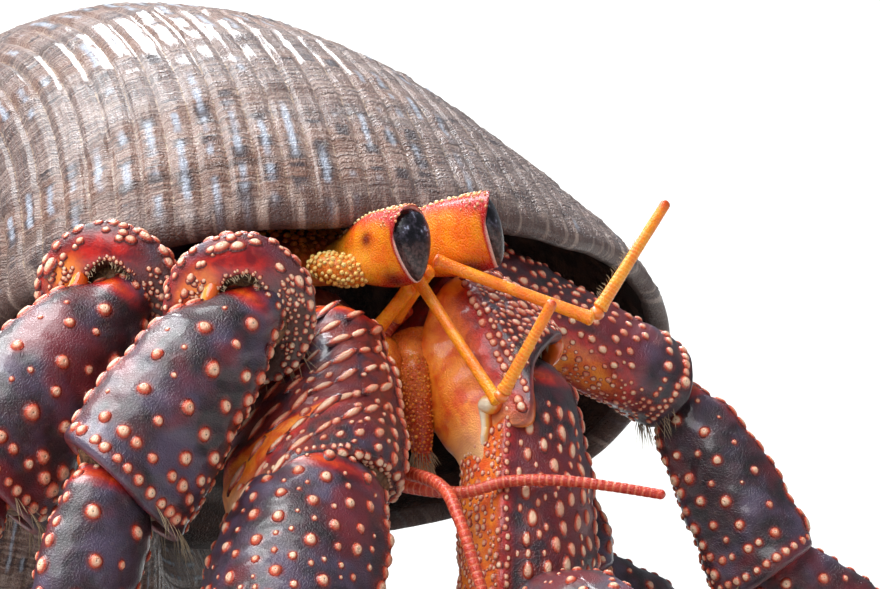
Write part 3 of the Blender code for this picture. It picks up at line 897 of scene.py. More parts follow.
class Seats:
    """Remembers where pearls sit, and takes a new one only if there is room round it."""

    def __init__(self):
        self.points, self.sizes = np.empty((0, 3)), np.empty(0)

    def take(self, point, size, gap):
        if (np.linalg.norm(self.points - point, axis=1) < (self.sizes + size) * gap).any():
            return False
        self.points, self.sizes = np.vstack([self.points, point]), np.append(self.sizes, size)
        return True


def line_spots(grid, line):
    """Pearls strung along a line over a plate: from (u, phi) to (u, phi), in degrees."""
    (u0, phi0), (u1, phi1), pitch, size, stretch, slant = line
    share = np.linspace(0, 1, 80)
    u, phi = u0 + (u1 - u0) * share, np.radians(phi0 + (phi1 - phi0) * share)
    inside = (u > 0.01) & (u < 0.985)
    u, phi = u[inside], phi[inside]
    if len(u) < 3:
        return []
    path = sample(grid, u, phi)
    travel = travelled(path)
    stops = np.arange(pitch * 0.4, travel[-1], pitch)
    stops = stops + chance.uniform(-0.16, 0.16, len(stops)) * pitch
    at_u = np.interp(stops, travel, u)
    at_phi = np.interp(stops, travel, phi) + chance.uniform(-1, 1, len(stops)) * 0.02
    sizes = size * chance.uniform(0.78, 1.12, len(stops))
    return [(a, b, c, stretch, slant) for a, b, c in zip(at_u, at_phi, sizes)]


def strew(grid, normal, along, lines, zones, tries=2600):
    """Spots for pearls on a plate: strung lines first, then zones filled at random without touching."""
    wanted = [spot for line in lines for spot in line_spots(grid, line)]
    u, phi = chance.uniform(0, 1, tries), chance.uniform(0, math.tau, tries)
    rank = chance.uniform(0, 1, tries)
    gaps = [STRING_GAP] * len(wanted)
    degrees = np.degrees(phi)
    for i in np.argsort(-rank):
        for (u0, u1), (phi0, phi1), (small, large), gap, stretch, slant in zones:
            if u0 < u[i] < u1 and (degrees[i] - phi0) % 360 < phi1 - phi0:
                wanted.append((u[i], phi[i], small + (large - small) * rank[i] ** 2, stretch, slant))
                gaps.append(gap)
                break
    us, phis = np.array([w[0] for w in wanted]), np.array([w[1] for w in wanted])
    points, normals, tangents = (sample(field, us, phis) for field in (grid, normal, along))
    seats, spots = Seats(), []
    for i, (_, _, size, stretch, slant) in enumerate(wanted):
        if not seats.take(points[i], size, gaps[i]):
            continue
        up, turn = unit(normals[i]), math.radians(slant)
        long = tangents[i] * math.cos(turn) + np.cross(up, tangents[i]) * math.sin(turn)
        spots.append((points[i], up, long, size, stretch, chance.uniform(0, 1)))
    return spots


print("pearls on a string stand", STRING_GAP, "of their width apart")

# %% [markdown]
# ## Shaping a leg plate
#
# Each plate is a bent tube of armour. Its near end is a rounded head that turns in the plate
# before it. Its far end is a hood: the upper rim reaches out over the next joint, the lower rim
# pulls back to let the leg fold, and the rim itself rolls inwards with a polished edge. The grid
# takes its girth from the frame, then gets crests, hood and rolled rim.

# %% Girths and bumps round a plate
COLUMNS = 104
PHI = turns(COLUMNS)


def girths(field, place):
    """The girth field read at places (rows, columns), with the columns at PHI."""
    row = np.clip((place - RAY_PLACES[0]) / (RAY_PLACES[-1] - RAY_PLACES[0]), 0, 1)
    return sample(field[..., None], row.ravel(), (PHI + 0 * place).ravel()).reshape(place.shape)


def off(angle, middle):
    """How far an angle is from a middle one, in degrees."""
    return (np.degrees(angle) - middle + 180) % 360 - 180


def bell(away, width):
    """A smooth bump: 1 in its middle, and next to nothing two widths away."""
    return np.exp(-(away / width) ** 2)


def hump(angle, middle, width):
    """The same round an angle, in degrees."""
    return bell(off(angle, middle), width)


def uneven(along, own):
    """A slow unevenness of the armour, in millimetres, which own makes different on every plate."""
    return (0.085 * np.sin(1.25 * along + 2.1 * np.sin(2 * PHI + own) + own)
            + 0.038 * np.sin(2.3 * along + 4 * PHI + 2 * own) + 0.03 * np.sin(3.9 * along - 7 * PHI + own))


print("a plate's grid is", COLUMNS, "points round")

# %% Shape one plate as a grid
ROLL_ROWS = 16
SOCKET_ROWS = (0.3, 0.65, 1.0)  # shares of the socket's depth


class PlateShape:
    """A plate's outer grid, its rolled rim and socket, and the directions it is set along.

    Lengths are in millimetres and angles in degrees. head is the length of the rounded near end,
    hood and tuck how far the rim reaches on above and draws back below, and skew a slant of the rim
    (how far, toward which angle). rim is the width of the rolled edge in front, above, behind and
    below, bulge how far it rolls on, flare its outward turn. crests and flap are bumps of the girth
    and of the rim (middle, height, width). cone widens the near and the far end, and point sharpens.
    warm, shade and band say where the plate is orange, grainy grey and how its rim is coloured.
    """

    def __init__(self, node, start, end, facing, head=1.6, hood=0.8, tuck=1.2, rim=(0.9, 1.1, 0.9, 0.6),
                 flare=0.2, socket=2.4, bulge=0.42, crests=(), rows=64, cone=(1.0, 1.0), skew=(0.0, 0.0),
                 flap=(), band=None, warm=None, shade=None, backset=0.7, glint=0.5, shift=0.0, point=0.0):
        self.axes = axes_along(start, end, facing)
        self.node, self.start, self.length = node, start, np.linalg.norm(end - start)
        self.bulge, self.glint, self.shift = bulge, glint, shift
        self.far = (self.length + sum(height * hump(PHI, middle, width) for middle, height, width in flap)
                    + hood * np.clip(np.sin(PHI), 0, 1) - tuck * np.clip(-np.sin(PHI), 0, 1)
                    + skew[0] * np.cos(PHI - math.radians(skew[1])))
        along = -backset + np.linspace(0, 1, rows)[:, None] * (self.far[None] + backset)
        place = along / self.length
        girth = girths(soften(girth_of(node, start, end, self.axes)), place)
        girth = girth * np.interp(place, (0.0, 0.3, 1.0), (cone[0], (cone[0] + cone[1]) / 2, cone[1]))
        girth = girth * np.clip(1 - point * np.clip((place - 0.45) / 0.55, 0, 1) ** 1.7, 0.03, 1)
        for middle, height, width in crests:
            fade = np.clip(along / 2.5, 0, 1) * np.clip((self.far[None] + 0.6 - along) / 2.0, 0.3, 1)
            girth = girth + height * hump(PHI, middle, width)[None] * fade
        girth = girth + uneven(along, sum(map(ord, node)) % 7) * np.clip(girth / 2.4, 0, 1)
        dome = np.clip((head - along) / (head + backset), 0, 0.985)
        girth = girth * (1 - dome ** 2.4) ** (1 / 2.4)
        girth = girth + flare * bell(self.far[None] - along, 1.1)
        self.outer = self.at(along, girth)
        self.normal, self.along = outward(self.outer)
        middle_row = (self.outer - self.at(along, 0 * girth))[rows // 2]
        self.turned = (self.normal[rows // 2] * middle_row).sum() < 0
        if self.turned:
            self.normal = -self.normal
        self.mouth = girth[-1]
        self.rim = sum(width * np.clip(np.cos(PHI - math.radians(middle)), 0, 1) ** 2
                       for width, middle in zip(rim, (0, 90, 180, 270)))
        self.leaf = hump(PHI, flap[0][0], 40) if flap else 0 * PHI
        self.rolled = self.roll(socket)
        self.reach, self.warm, self.band, self.shade = along, warm, band, shade

    def at(self, along, girth):
        """Points at a distance along the plate's axis and a girth, for every column."""
        axis, front, top = self.axes
        out = front * np.cos(PHI)[:, None] + top * np.sin(PHI)[:, None]
        raised = self.shift * np.clip(1 - along / self.length, 0, 1)[..., None] * UP
        return self.start + along[..., None] * axis + girth[..., None] * out + raised

    def roll(self, socket):
        """The rim rolls inwards, and a socket wall runs back behind it."""
        rows = []
        for turn in np.linspace(0, math.pi, ROLL_ROWS + 1)[1:]:
            rows.append(self.at(self.far + self.bulge * self.rim * math.sin(turn),
                                self.mouth - self.rim / 2 * (1 - math.cos(turn))))
        for share in SOCKET_ROWS:
            rows.append(self.at(self.far - socket * share, (self.mouth - self.rim) * (1 - 0.35 * share ** 2)))
        return np.array(rows)

    def around_rim(self, values, phis):
        return np.interp(phis % math.tau, PHI, values, period=math.tau)

    def rim_line(self, phis, inward=0.8, ahead=0.1):
        """Points along the rolled rim, and the directions from there to the middle and outwards."""
        mouth = self.around_rim(self.mouth, phis) - self.around_rim(self.rim, phis) * np.ravel(inward)
        axis, front, top = self.axes
        out = front * np.cos(phis)[:, None] + top * np.sin(phis)[:, None]
        far = self.around_rim(self.far, phis) + ahead
        return self.start + far[:, None] * axis + mouth[:, None] * out, out

print("a rim is rolled in", ROLL_ROWS, "rows, and its socket has", len(SOCKET_ROWS))

# %% [markdown]
# ### Its colours and its rim
#
# The colours of a plate follow its shape: red and orange where the rim is rolled and polished, a
# dark skin inside the socket, a red stain under each pearl. They are worked out here as marks on
# the points, which the plate finish reads, so one material serves every plate.

# %% Paint and build a plate
PLAIN_BAND = (lambda phi: 0.35 + 0 * phi, lambda phi: 0.1 + 0 * phi)


def plate_marks(shape):
    """Where the plate is polished red (rim), orange (warm), grainy grey brown (shade) or inner skin."""
    along, far = shape.reach, shape.far
    around, blank, place = PHI[None] + 0 * along, 0 * along, along / shape.length
    edge = np.clip(1 - (far[None] - along) / 0.6, 0, 1)
    head = np.clip(1 - np.abs(along - 0.5) / 1.1, 0, 1) * (0.25 + 0.75 * hump(around, 95, 75))
    glow = shape.warm(around, place) if shape.warm else blank
    dull = shape.shade(around, place) if shape.shade else blank
    arch, fire = shape.band or PLAIN_BAND
    roll = np.arange(len(shape.rolled))[:, None]
    inside = np.clip((roll - ROLL_ROWS + 2) / 2, 0, 1) + 0 * PHI
    ramp = bell(np.clip(roll / (ROLL_ROWS - 1), 0, 1) - 0.58, shape.glint)
    pale, rim_pale = (shape.leaf * np.clip((end - shape.length - 1.0) / 3.5, 0, 0.9) for end in (along, far))
    return {
        "rim": np.vstack([np.maximum(edge * arch(around) * 0.4, head * 0.9), ramp * arch(PHI)]),
        "warm": np.vstack([np.clip(glow + head * 0.45, 0, 1), (0.35 + 0.65 * ramp) * fire(PHI)]),
        "inside": np.vstack([blank, inside]),
        "pale": np.vstack([pale, (1 - inside) * rim_pale]),
        "shade": np.vstack([dull, np.clip(1 - arch(PHI) * 1.6, 0, 1) * (1 - inside) * (dull.max() > 0)]),
    }


def horn_tip(points, tip, reach):
    """Tips darken to black horn: 0 over the plate, 1 at the tip."""
    return np.clip(1.4 - np.linalg.norm(points - tip, axis=1) / reach, 0, 1)


def build_plate(shape, name, spots):
    """Makes the plate's piece, with a halo mark round every pearl that will sit on it."""
    points, faces = closed_tube(np.concatenate([shape.outer, shape.rolled]), not shape.turned)
    marks = {mark: closed_mark(field) for mark, field in plate_marks(shape).items()}
    marks["halo"] = np.zeros(len(points))
    for point, _, _, size, stretch, _ in spots:
        away = np.linalg.norm(points - point, axis=1) / (size * (0.5 + 0.5 * stretch))
        marks["halo"] = np.maximum(marks["halo"], np.clip(2.0 - away, 0, 1))
    if shape.node.endswith("dactyl"):
        marks["horn"] = horn_tip(points, shape.start + shape.axes[0] * shape.length, 3.0)
    piece(name, points, faces, PLATE, replaces=(shape.node,), slot="plate_dark", marks=marks)


print("marks go to the finish", PLATE.name)

# %% Pearls on the rolled rim
def rim_spots(shape, rows):
    """Spots by rows of (first and last phi, how far inwards, pitch, size, stretch), all on the rim."""
    spots, axis = [], shape.axes[0]
    for first, last, inward, pitch, size, *long in rows:
        turn = pitch / shape.mouth.mean()
        phis = np.radians(np.arange(first, last, math.degrees(turn)))
        phis = phis + chance.uniform(-0.4, 0.4, len(phis)) * turn
        inwards = np.clip(inward + chance.uniform(-0.05, 0.05, len(phis)), 0.02, 0.98)
        points, out = shape.rim_line(phis, inwards[:, None], 0.0)
        lift = shape.bulge * shape.around_rim(shape.rim, phis) * np.sin(np.arccos(1 - 2 * inwards))
        for point, away, up, share in zip(points, out, lift, inwards):
            radius = size * chance.uniform(0.6, 1.2)
            if any(np.linalg.norm(spot[0] - point) < (spot[3] + radius) * 0.95 for spot in spots):
                continue
            normal = unit(axis + away * (0.9 - 1.4 * share))
            stretch = long[0] * chance.uniform(0.75, 1.15) if long else 1.2
            spots.append((point + up * axis, normal, np.cross(normal, away), radius, stretch,
                          chance.uniform(0.3, 1)))
    return spots


# The rim of a right merus: first and last phi, how far inwards, pitch, size, stretch.
HOOD_PEARLS = ((12, 176, 0.04, 0.92, 0.22, 1.5), (30, 160, 0.2, 1.9, 0.31, 1.6),
               (20, 112, 0.34, 3.0, 0.24, 1.4), (18, 150, 0.93, 0.42, 0.13, 1.0),
               (122, 176, 0.34, 0.7, 0.2, 1.2), (150, 184, 0.5, 0.5, 0.17, 1.1),
               (146, 178, 0.64, 0.42, 0.16, 1.1), (-20, 40, 0.06, 0.6, 0.26, 1.5),
               (-70, 24, 0.08, 0.5, 0.22), (-60, 28, 0.22, 0.45, 0.2), (-50, 34, 0.38, 0.42, 0.17),
               (-46, 36, 0.55, 0.4, 0.15), (-40, 30, 0.72, 0.4, 0.14), (168, 240, 0.08, 0.5, 0.24),
               (186, 236, 0.26, 0.5, 0.2))
print("the rim of a right merus has", len(HOOD_PEARLS), "rows of pearls")

# %% [markdown]
# ## The four walking legs
#
# Crabs are not symmetric where the shell leans on them, but each leg has the same five plates.
# phi is the angle round a plate: 0 looks forwards, 90 up, 180 back and 270 down. The crest of the
# knee plate is a double string of oblong pearls, its front face is polished with a few pitted
# pearls, and the underside is finely granular. So each plate is one shape and one pearl pattern,
# written once, which the four legs share in their own sizes.

# %% Pearl patterns of the walking legs
# Each plate has its lines, and then its zones, in millimetres and degrees.
# A line: from (u, phi) to (u, phi), pitch, size, stretch, slant.
# A zone: u span, phi span, sizes, gap, stretch, slant.
PATTERNS = {
    "merus": ([
        ((0.975, 12), (0.975, 172), 0.95, 0.4, 1.15, 90), ((0.9, 20), (0.9, 165), 1.3, 0.42, 1.1, 90),
        ((0.97, 165), (0.93, 235), 0.75, 0.26, 1.1, 90), ((0.97, 300), (0.95, 376), 0.6, 0.24, 1.1, 90),
        ((0.9, 310), (0.9, 372), 0.7, 0.22, 1.1, 90), ((0.8, 40), (0.8, 140), 1.6, 0.36, 1.1, 90),
    ], [
        ((0.08, 0.97), (185, 345), (0.12, 0.26), 1.25, 1.1, 0),
        ((0.1, 0.78), (345, 545), (0.16, 0.34), 1.7, 1.2, 0),
    ]),
    "carpus": ([
        ((0.1, 118), (0.97, 112), 1.3, 0.36, 1.7, 8), ((0.14, 132), (0.95, 128), 1.2, 0.3, 1.6, -8),
        ((0.12, 318), (0.97, 322), 1.5, 0.42, 1.0, 0), ((0.16, 296), (0.95, 300), 1.2, 0.3, 1.0, 0),
        ((0.14, 308), (0.95, 311), 1.0, 0.24, 1.0, 0), ((0.965, 300), (0.975, 470), 1.0, 0.33, 1.0, 0),
        ((0.07, 300), (0.07, 480), 0.9, 0.2, 1.2, 90), ((0.86, 325), (0.88, 440), 1.35, 0.36, 1.0, 0),
        ((0.3, 342), (0.9, 350), 2.4, 0.42, 1.0, 0),
    ], [
        ((0.2, 0.95), (338, 400), (0.24, 0.46), 2.6, 1.0, 0),
        ((0.2, 0.95), (400, 465), (0.14, 0.4), 3.4, 1.0, 0),
        ((0.1, 0.97), (135, 300), (0.13, 0.32), 1.6, 1.1, 0),
    ]),
    "propodus": ([
        ((0.06, 60), (0.06, 300), 1.0, 0.26, 1.1, 90), ((0.08, 100), (0.96, 96), 1.5, 0.32, 1.3, 0),
        ((0.08, 312), (0.94, 318), 1.6, 0.32, 1.1, 0), ((0.1, 120), (0.95, 116), 1.2, 0.24, 1.2, 0),
    ], [
        ((0.1, 0.95), (320, 455), (0.26, 0.42), 2.9, 1.0, 0),
        ((0.06, 0.96), (125, 310), (0.13, 0.28), 1.7, 1.1, 0),
    ]),
    "dactyl": ([
        ((0.05, 90), (0.8, 90), 1.5, 0.24, 1.4, 0), ((0.05, 40), (0.75, 40), 1.6, 0.2, 1.3, 0),
        ((0.05, 150), (0.75, 150), 1.6, 0.2, 1.3, 0),
    ], [
        ((0.04, 0.6), (0, 360), (0.1, 0.2), 2.4, 1.2, 0),
    ]),
}
PIECES = ("hip", "merus", "carpus", "propodus", "dactyl")
print("pearl strings:", {part: len(lines) for part, (lines, _) in PATTERNS.items()})

# %% Shapes of the walking legs' plates
BACK_SIDE = np.array((0.766, -0.643, 0.0))  # across the view, towards the crab's left
SHAPES = {
    "merus": dict(head=1.2, hood=1.6, tuck=3.4, rim=(2.9, 2.5, 3.2, 0.8), flare=0.25, socket=3.0,
                  bulge=0.12, glint=0.34,
                  band=(lambda phi: hump(phi, 118, 74), lambda phi: 0.15 + 0.9 * hump(phi, 168, 30)),
                  shade=lambda phi, u: hump(phi, 335, 60) * 0.7 * np.clip(u * 3 - 1.6, 0, 1)),
    "carpus": dict(head=2.6, hood=0.7, tuck=0.8, flare=0.15, socket=2.2, backset=1.5, cone=(0.66, 1.1),
                   skew=(0.9, 306), crests=((120, 0.7, 24), (315, 0.45, 24))),
    "propodus": dict(head=2.2, hood=0.4, tuck=0.5, rim=(0.7, 0.8, 0.7, 0.5), flare=0.1, socket=1.6,
                     backset=1.1, cone=(0.95, 1.0), crests=((100, 0.25, 20),)),
    "dactyl": dict(head=1.4, hood=0.0, tuck=0.0, rim=(0.05, 0.05, 0.05, 0.05), flare=0.0, socket=0.1, rows=56,
                   point=0.97),
}
LEFT_MERUS = dict(hood=0.1, tuck=0.9, shift=3.4, rim=(0.8, 0.8, 0.8, 0.6), flare=0.0, bulge=0.3,
                  cone=(1.25, 0.86), crests=((100, 0.5, 22),), band=None, shade=None,
                  warm=lambda phi, u: 1.1 * hump(phi, 322, 40) * np.clip(1.4 - np.abs(u - 0.5) * 3.2, 0, 1))
RIGHT_KNEE_SHIFT = BACK_SIDE * 1.3  # brings a right knee plate out of the hood before it
print("plates with a shape:", list(SHAPES))

# %% [markdown]
# ### What fills a joint
#
# Between two plates there is soft, leathery skin, and each joint turns on a polished knuckle. Combs
# of bristles along the rim feel how far the leg is bent. Simple balls do for skin and knuckle, as
# only a sliver of them shows, and every bristle is a bent, three-sided cone.

# %% Fill the joints
COMB, COMB_PITCH = (25, 155), 3.4
KNUCKLE_PHI, KNUCKLE_SIZES = 166, np.array((0.5, 1.2, 0.6)) * 1.15


def add_ball(bunch, middle, axes, sizes, mark=False, rows=14, columns=20):
    """A smooth lump with its own half sizes along three directions; rise marks its outer side."""
    polar = np.linspace(0.03, math.pi - 0.03, rows)[:, None]
    around = turns(columns)[None]
    parts = (np.cos(polar) + 0 * around, np.sin(polar) * np.cos(around), np.sin(polar) * np.sin(around))
    shape = middle + sum(part[..., None] * axis * size for part, axis, size in zip(parts, axes, sizes))
    rise = np.append(np.repeat(np.clip(np.cos(polar[:, 0]), 0, 1), columns), (1.0, 0.0))
    bunch.add(*closed_tube(shape, mirrored(axes)), rise=rise if mark else 0.3)


def add_joint(shape, balls, knobs, bristles, girth, deep=0.7):
    """What fills a joint: a leathery ball, a knuckle at its back, and a comb of bristles above."""
    axis, front, top = shape.axes
    middle = shape.start + axis * (shape.length - 0.4 - deep)
    wide = np.interp((0.0, math.pi / 2), PHI, shape.mouth - shape.rim * 0.55) * (1.02 if deep < 1.5 else 0.72)
    add_ball(balls, middle, (front, top, axis), (*wide, wide.mean() * 0.68))
    point, out = shape.rim_line(np.radians([KNUCKLE_PHI]), 0.86, 0.3)
    add_ball(knobs, point[0], (out[0], np.cross(axis, out[0]), axis), KNUCKLE_SIZES, mark=True)
    phis = np.arange(*COMB, COMB_PITCH / girth)
    phis = np.radians(phis + chance.uniform(0, 2, len(phis)))
    roots, out = shape.rim_line(phis, 0.98, -0.05)
    ways = [unit(axis * 0.7 - away * 0.6 + chance.normal(0, 0.3, 3)) for away in out]
    add_bristles(bristles, roots, ways, 0.56 * girth, 0.04)


def hairs(shape, bristles, girth):
    """Long soft hairs that hang from the underside of a joint."""
    roots, out = shape.rim_line(np.radians(chance.uniform(205, 345, 46)), 0.2, -0.3)
    ways = [unit(away + shape.axes[0] * 0.5 - UP * 0.3 + chance.normal(0, 0.3, 3)) for away in out]
    add_bristles(bristles, roots, ways, 1.7 * girth, 0.028, 0.3)


print("a comb has a bristle every", COMB_PITCH, "degrees, from", COMB[0], "to", COMB[1])

# %% Build the walking legs
def scaled(lines, zones, girth):
    """A thinner leg's pearl pattern: the same places, with smaller and closer pearls."""
    return ([(a, b, pitch * girth, size * girth, *rest) for a, b, pitch, size, *rest in lines],
            [(u, phi, (small * girth, large * girth), *rest) for u, phi, (small, large), *rest in zones])


def pearled_plate(shape, name, pattern, rim_pearls, pearls, tries=2600):
    """Strews a plate with pearls, and makes it with a red stain round each of them."""
    spots = strew(shape.outer, shape.normal, shape.along, *pattern, tries) + rim_spots(shape, rim_pearls)
    build_plate(shape, name, spots)
    add_pearls(pearls, [spot for spot in spots if spot[3] > BIG_PEARL], 11)
    add_pearls(pearls, [spot for spot in spots if spot[3] <= BIG_PEARL], 7)


def limb_bunches():
    return Bunch("rise", "tint"), Bunch("rise"), Bunch("rise"), Bunch("rise")


def finish_limb(limb, pearls, balls, knobs, bristles):
    """Makes one piece of each kind from what was gathered along a limb."""
    pearls.make(f"{limb}_pearls", PEARL)
    balls.make(f"{limb}_membranes", MEMBRANE, slot="soft_flesh")
    knobs.make(f"{limb}_knuckles", KNUCKLE)
    bristles.make(f"{limb}_bristles", BRISTLE)
    print(limb, "carries", len(pearls.points), "pearls")


def walking_leg(limb, girth):
    joints = joints_of(limb, PIECES)
    pearls, *fillings = limb_bunches()
    left = limb.endswith("left")
    for part, start, end in zip(PIECES[1:], joints[1:], joints[2:]):
        if part == "carpus" and not left:
            start = start + RIGHT_KNEE_SHIFT
        changes = LEFT_MERUS if part == "merus" and left else {}
        rim_pearls = HOOD_PEARLS if part == "merus" and not left else ()
        shape = PlateShape(f"{limb}_{part}", start, end, (0, -1, 0), **{**SHAPES[part], **changes})
        pattern = scaled(*PATTERNS[part], girth)
        pearled_plate(shape, f"{limb}_{part}_plate", pattern, rim_pearls, pearls)
        if part != "dactyl":
            add_joint(shape, *fillings, girth)
        if part in ("merus", "carpus"):
            hairs(shape, fillings[-1], girth)
    finish_limb(limb, pearls, *fillings)


for limb, girth in (("leg_2_right", 1.0), ("leg_3_right", 1.03), ("leg_2_left", 0.8), ("leg_3_left", 0.75)):
    walking_leg(limb, girth)

# %% [markdown]
# ## The two clawed arms
#
# The arm plates in front of the mouth are broader. The right arm's upper plate is combed with slanting
# rows of long beads, and its outer rim ends in a polished orange-red ridge. The left arm's plates
# are two-coloured: wine dark outside, and bright orange where they face the mouth. Its upper plate
# ends in an orange flap. The helpers of the legs serve again, with other shapes and patterns.

# %% Pearl patterns of the arms
SLANTED = [((0.13 * k - 0.42, 18), (0.13 * k + 0.1, 158), 1.95, 0.23, 3.8, -40) for k in range(9)]
ACROSS = [((0.1 * k - 0.3, 62), (0.1 * k + 0.15, 190), 0.85, 0.24, 1.5, 30) for k in range(11)]
ARM_PATTERNS = {
    "claw_right_merus": (SLANTED + [
        ((0.03, 8), (0.99, 2), 0.85, 0.4, 1.15, 0), ((0.02, -8), (0.98, -12), 0.9, 0.36, 1.15, 0),
        ((0.04, 22), (0.97, 18), 1.1, 0.3, 1.3, 15), ((0.6, 176), (0.97, 182), 0.8, 0.22, 1.2, 0),
        ((0.975, 60), (0.975, 150), 0.55, 0.17, 1.3, 0),
    ], [
        ((0.05, 0.97), (185, 350), (0.14, 0.28), 1.5, 1.2, 0),
        ((0.5, 0.95), (20, 110), (0.12, 0.26), 2.1, 1.7, -40),
    ]),
    "claw_right_carpus": ([
        ((0.05, -20), (0.05, 200), 0.8, 0.24, 1.2, 90), ((0.12, 4), (0.97, 0), 1.2, 0.38, 1.2, 0),
        ((0.12, 172), (0.97, 176), 1.2, 0.36, 1.2, 0), ((0.95, 10), (0.95, 170), 1.3, 0.36, 1.0, 0),
    ], [
        ((0.1, 0.95), (5, 175), (0.12, 0.34), 2.4, 1.1, 0),
        ((0.1, 0.95), (175, 365), (0.14, 0.3), 1.8, 1.1, 0),
    ]),
    "claw_left_merus": (ACROSS + [
        ((0.02, 52), (0.98, 24), 0.6, 0.26, 1.2, 0), ((0.4, 50), (0.98, 36), 0.62, 0.2, 1.2, 0),
    ], [
        ((0.05, 0.97), (55, 300), (0.1, 0.2), 1.3, 1.3, 20),
        ((0.5, 0.97), (38, 56), (0.1, 0.2), 1.2, 1.2, 20),
    ]),
    "claw_left_carpus": ([
        ((0.1, 80), (0.97, 86), 0.62, 0.17, 1.3, 0), ((0.12, 178), (0.97, 176), 1.1, 0.34, 1.5, 0),
        ((0.96, 20), (0.96, 170), 1.2, 0.34, 1.0, 0),
    ], [
        ((0.05, 0.97), (-60, 80), (0.1, 0.22), 1.15, 1.2, 10),
        ((0.22, 0.97), (90, 180), (0.12, 0.3), 2.1, 1.8, 0),
        ((0.1, 0.97), (180, 300), (0.14, 0.26), 1.7, 1.2, 0),
    ]),
}
RIDGE_PEARLS = ((-60, 66, 0.1, 0.6, 0.26), (-56, 60, 0.32, 0.5, 0.2), (-50, 50, 0.55, 0.46, 0.16))
print("slanting rows on the right arm:", len(SLANTED))

# %% Shapes of the arms' plates
ARM_FACING = {"claw_right": (1.0, -0.5, 0.0), "claw_left": (-1.0, -0.5, 0.0)}


def ridge_glow(phi, u):
    """The orange ridge that sweeps over the far end of the right arm's upper plate."""
    width = 11 + 90 * np.clip(u - 0.82, 0, 1)
    return 1.2 * hump(phi, 76 + (u - 0.72) * 240, width) * np.clip((u - 0.66) * 9, 0, 1)


def mouth_glow(phi, u):
    """The orange side of the left arm's upper plate, narrower towards its far end."""
    return np.clip(1.25 - np.abs(off(phi, -30)) / (80 - 26 * np.clip(u, 0, 1)), 0, 1) ** 0.5


def wrist_glow(phi, u):
    return np.clip(3.5 - np.abs(off(phi, 10)) / 24, 0, 1)


ARM_SHAPES = {
    "claw_right_merus": dict(head=1.4, hood=0.6, tuck=2.0, rim=(1.6, 1.5, 2.8, 0.8), flare=0.05, socket=3.0,
                             bulge=0.16, skew=(1.2, 172), flap=((150, 1.9, 30),), warm=ridge_glow,
                             crests=((2, 0.35, 9), (165, 0.55, 16)),
                             band=(lambda phi: hump(phi, 168, 52),
                                   lambda phi: 0.2 + 0.8 * hump(phi, 170, 50))),
    "claw_right_carpus": dict(head=2.4, hood=0.6, tuck=0.8, rim=(0.9, 1.0, 0.9, 0.6), flare=0.1, backset=2.2,
                              cone=(1.3, 1.0), crests=((0, 0.35, 12), (175, 0.3, 14))),
    "claw_left_merus": dict(head=1.2, hood=0.4, tuck=0.4, rim=(1.0, 1.0, 1.0, 0.8), flare=0.05, bulge=0.3,
                            skew=(1.6, -25), warm=mouth_glow,
                            flap=((-34, 5.6, 32), (24, 2.7, 24), (-4, -1.2, 12)),
                            crests=((50, 0.5, 9), (-14, 0.45, 12), (-44, 1.5, 30)),
                            band=(lambda phi: hump(phi, -10, 60), lambda phi: 0.9 * hump(phi, -10, 70))),
    "claw_left_carpus": dict(head=2.2, hood=0.5, tuck=0.6, rim=(0.9, 1.0, 0.9, 0.6), flare=0.1, backset=1.2,
                             crests=((80, 0.55, 8), (178, 0.3, 14)), warm=wrist_glow,
                             band=(lambda phi: hump(phi, 78, 30), lambda phi: 0.3 + 0 * phi)),
}
JOINT_DEPTHS = {"claw_left_merus": 2.4}  # the flap hides the ball only if it sits deep
print("arm plates with a shape:", list(ARM_SHAPES))

# %% [markdown]
# ### The claws
#
# The two parts of a claw are rounded lumps that no single tube describes. So each is carved: the
# frame's solid is remeshed finely, smoothed, and then strewn with pearls wherever they can sit.

# %% Carve a solid smooth
def carved(node, voxel=0.32, smooth=14, swell=0.05):
    """A smooth, finely meshed copy of a solid, in millimetres: its points, normals and faces."""
    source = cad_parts[node]
    copy = bpy.data.objects.new("carving", source.data.copy())
    bpy.context.scene.collection.objects.link(copy)
    weld = copy.modifiers.new("weld", "WELD")
    weld.merge_threshold = 0.00001
    remesh = copy.modifiers.new("remesh", "REMESH")
    remesh.mode, remesh.voxel_size = "VOXEL", voxel * MM
    ease = copy.modifiers.new("ease", "SMOOTH")
    ease.factor, ease.iterations = 0.5, smooth
    plump = copy.modifiers.new("plump", "DISPLACE")
    plump.strength, plump.mid_level = swell * MM, 0.0
    shape = copy.evaluated_get(bpy.context.evaluated_depsgraph_get()).to_mesh()
    points, normals = (numbers(shape.vertices, name, 3) for name in ("co", "normal"))
    corners = numbers(shape.loops, "vertex_index", kind=np.int32)
    sizes = numbers(shape.polygons, "loop_total", kind=np.int32)
    starts = np.cumsum(sizes) - sizes
    faces = [np.array([corners[a:a + n] for a in starts[sizes == n]]) for n in np.unique(sizes)]
    bpy.data.objects.remove(copy)
    return points / MM, normals, faces


def carved_spots(points, normals, count, sizes, where=None, gap=1.1):
    """Spots for pearls on a carved piece, kept apart from each other."""
    allowed = np.flatnonzero(where(points, normals)) if where else np.arange(len(points))
    seats, spots = Seats(), []
    for i in chance.permutation(allowed)[:count * 6]:
        size = chance.uniform(*sizes)
        if not seats.take(points[i], size, gap):
            continue
        spots.append((points[i], unit(normals[i]), UP + 1e-3, size, 1.0, chance.uniform(0, 1)))
        if len(spots) >= count:
            break
    return spots


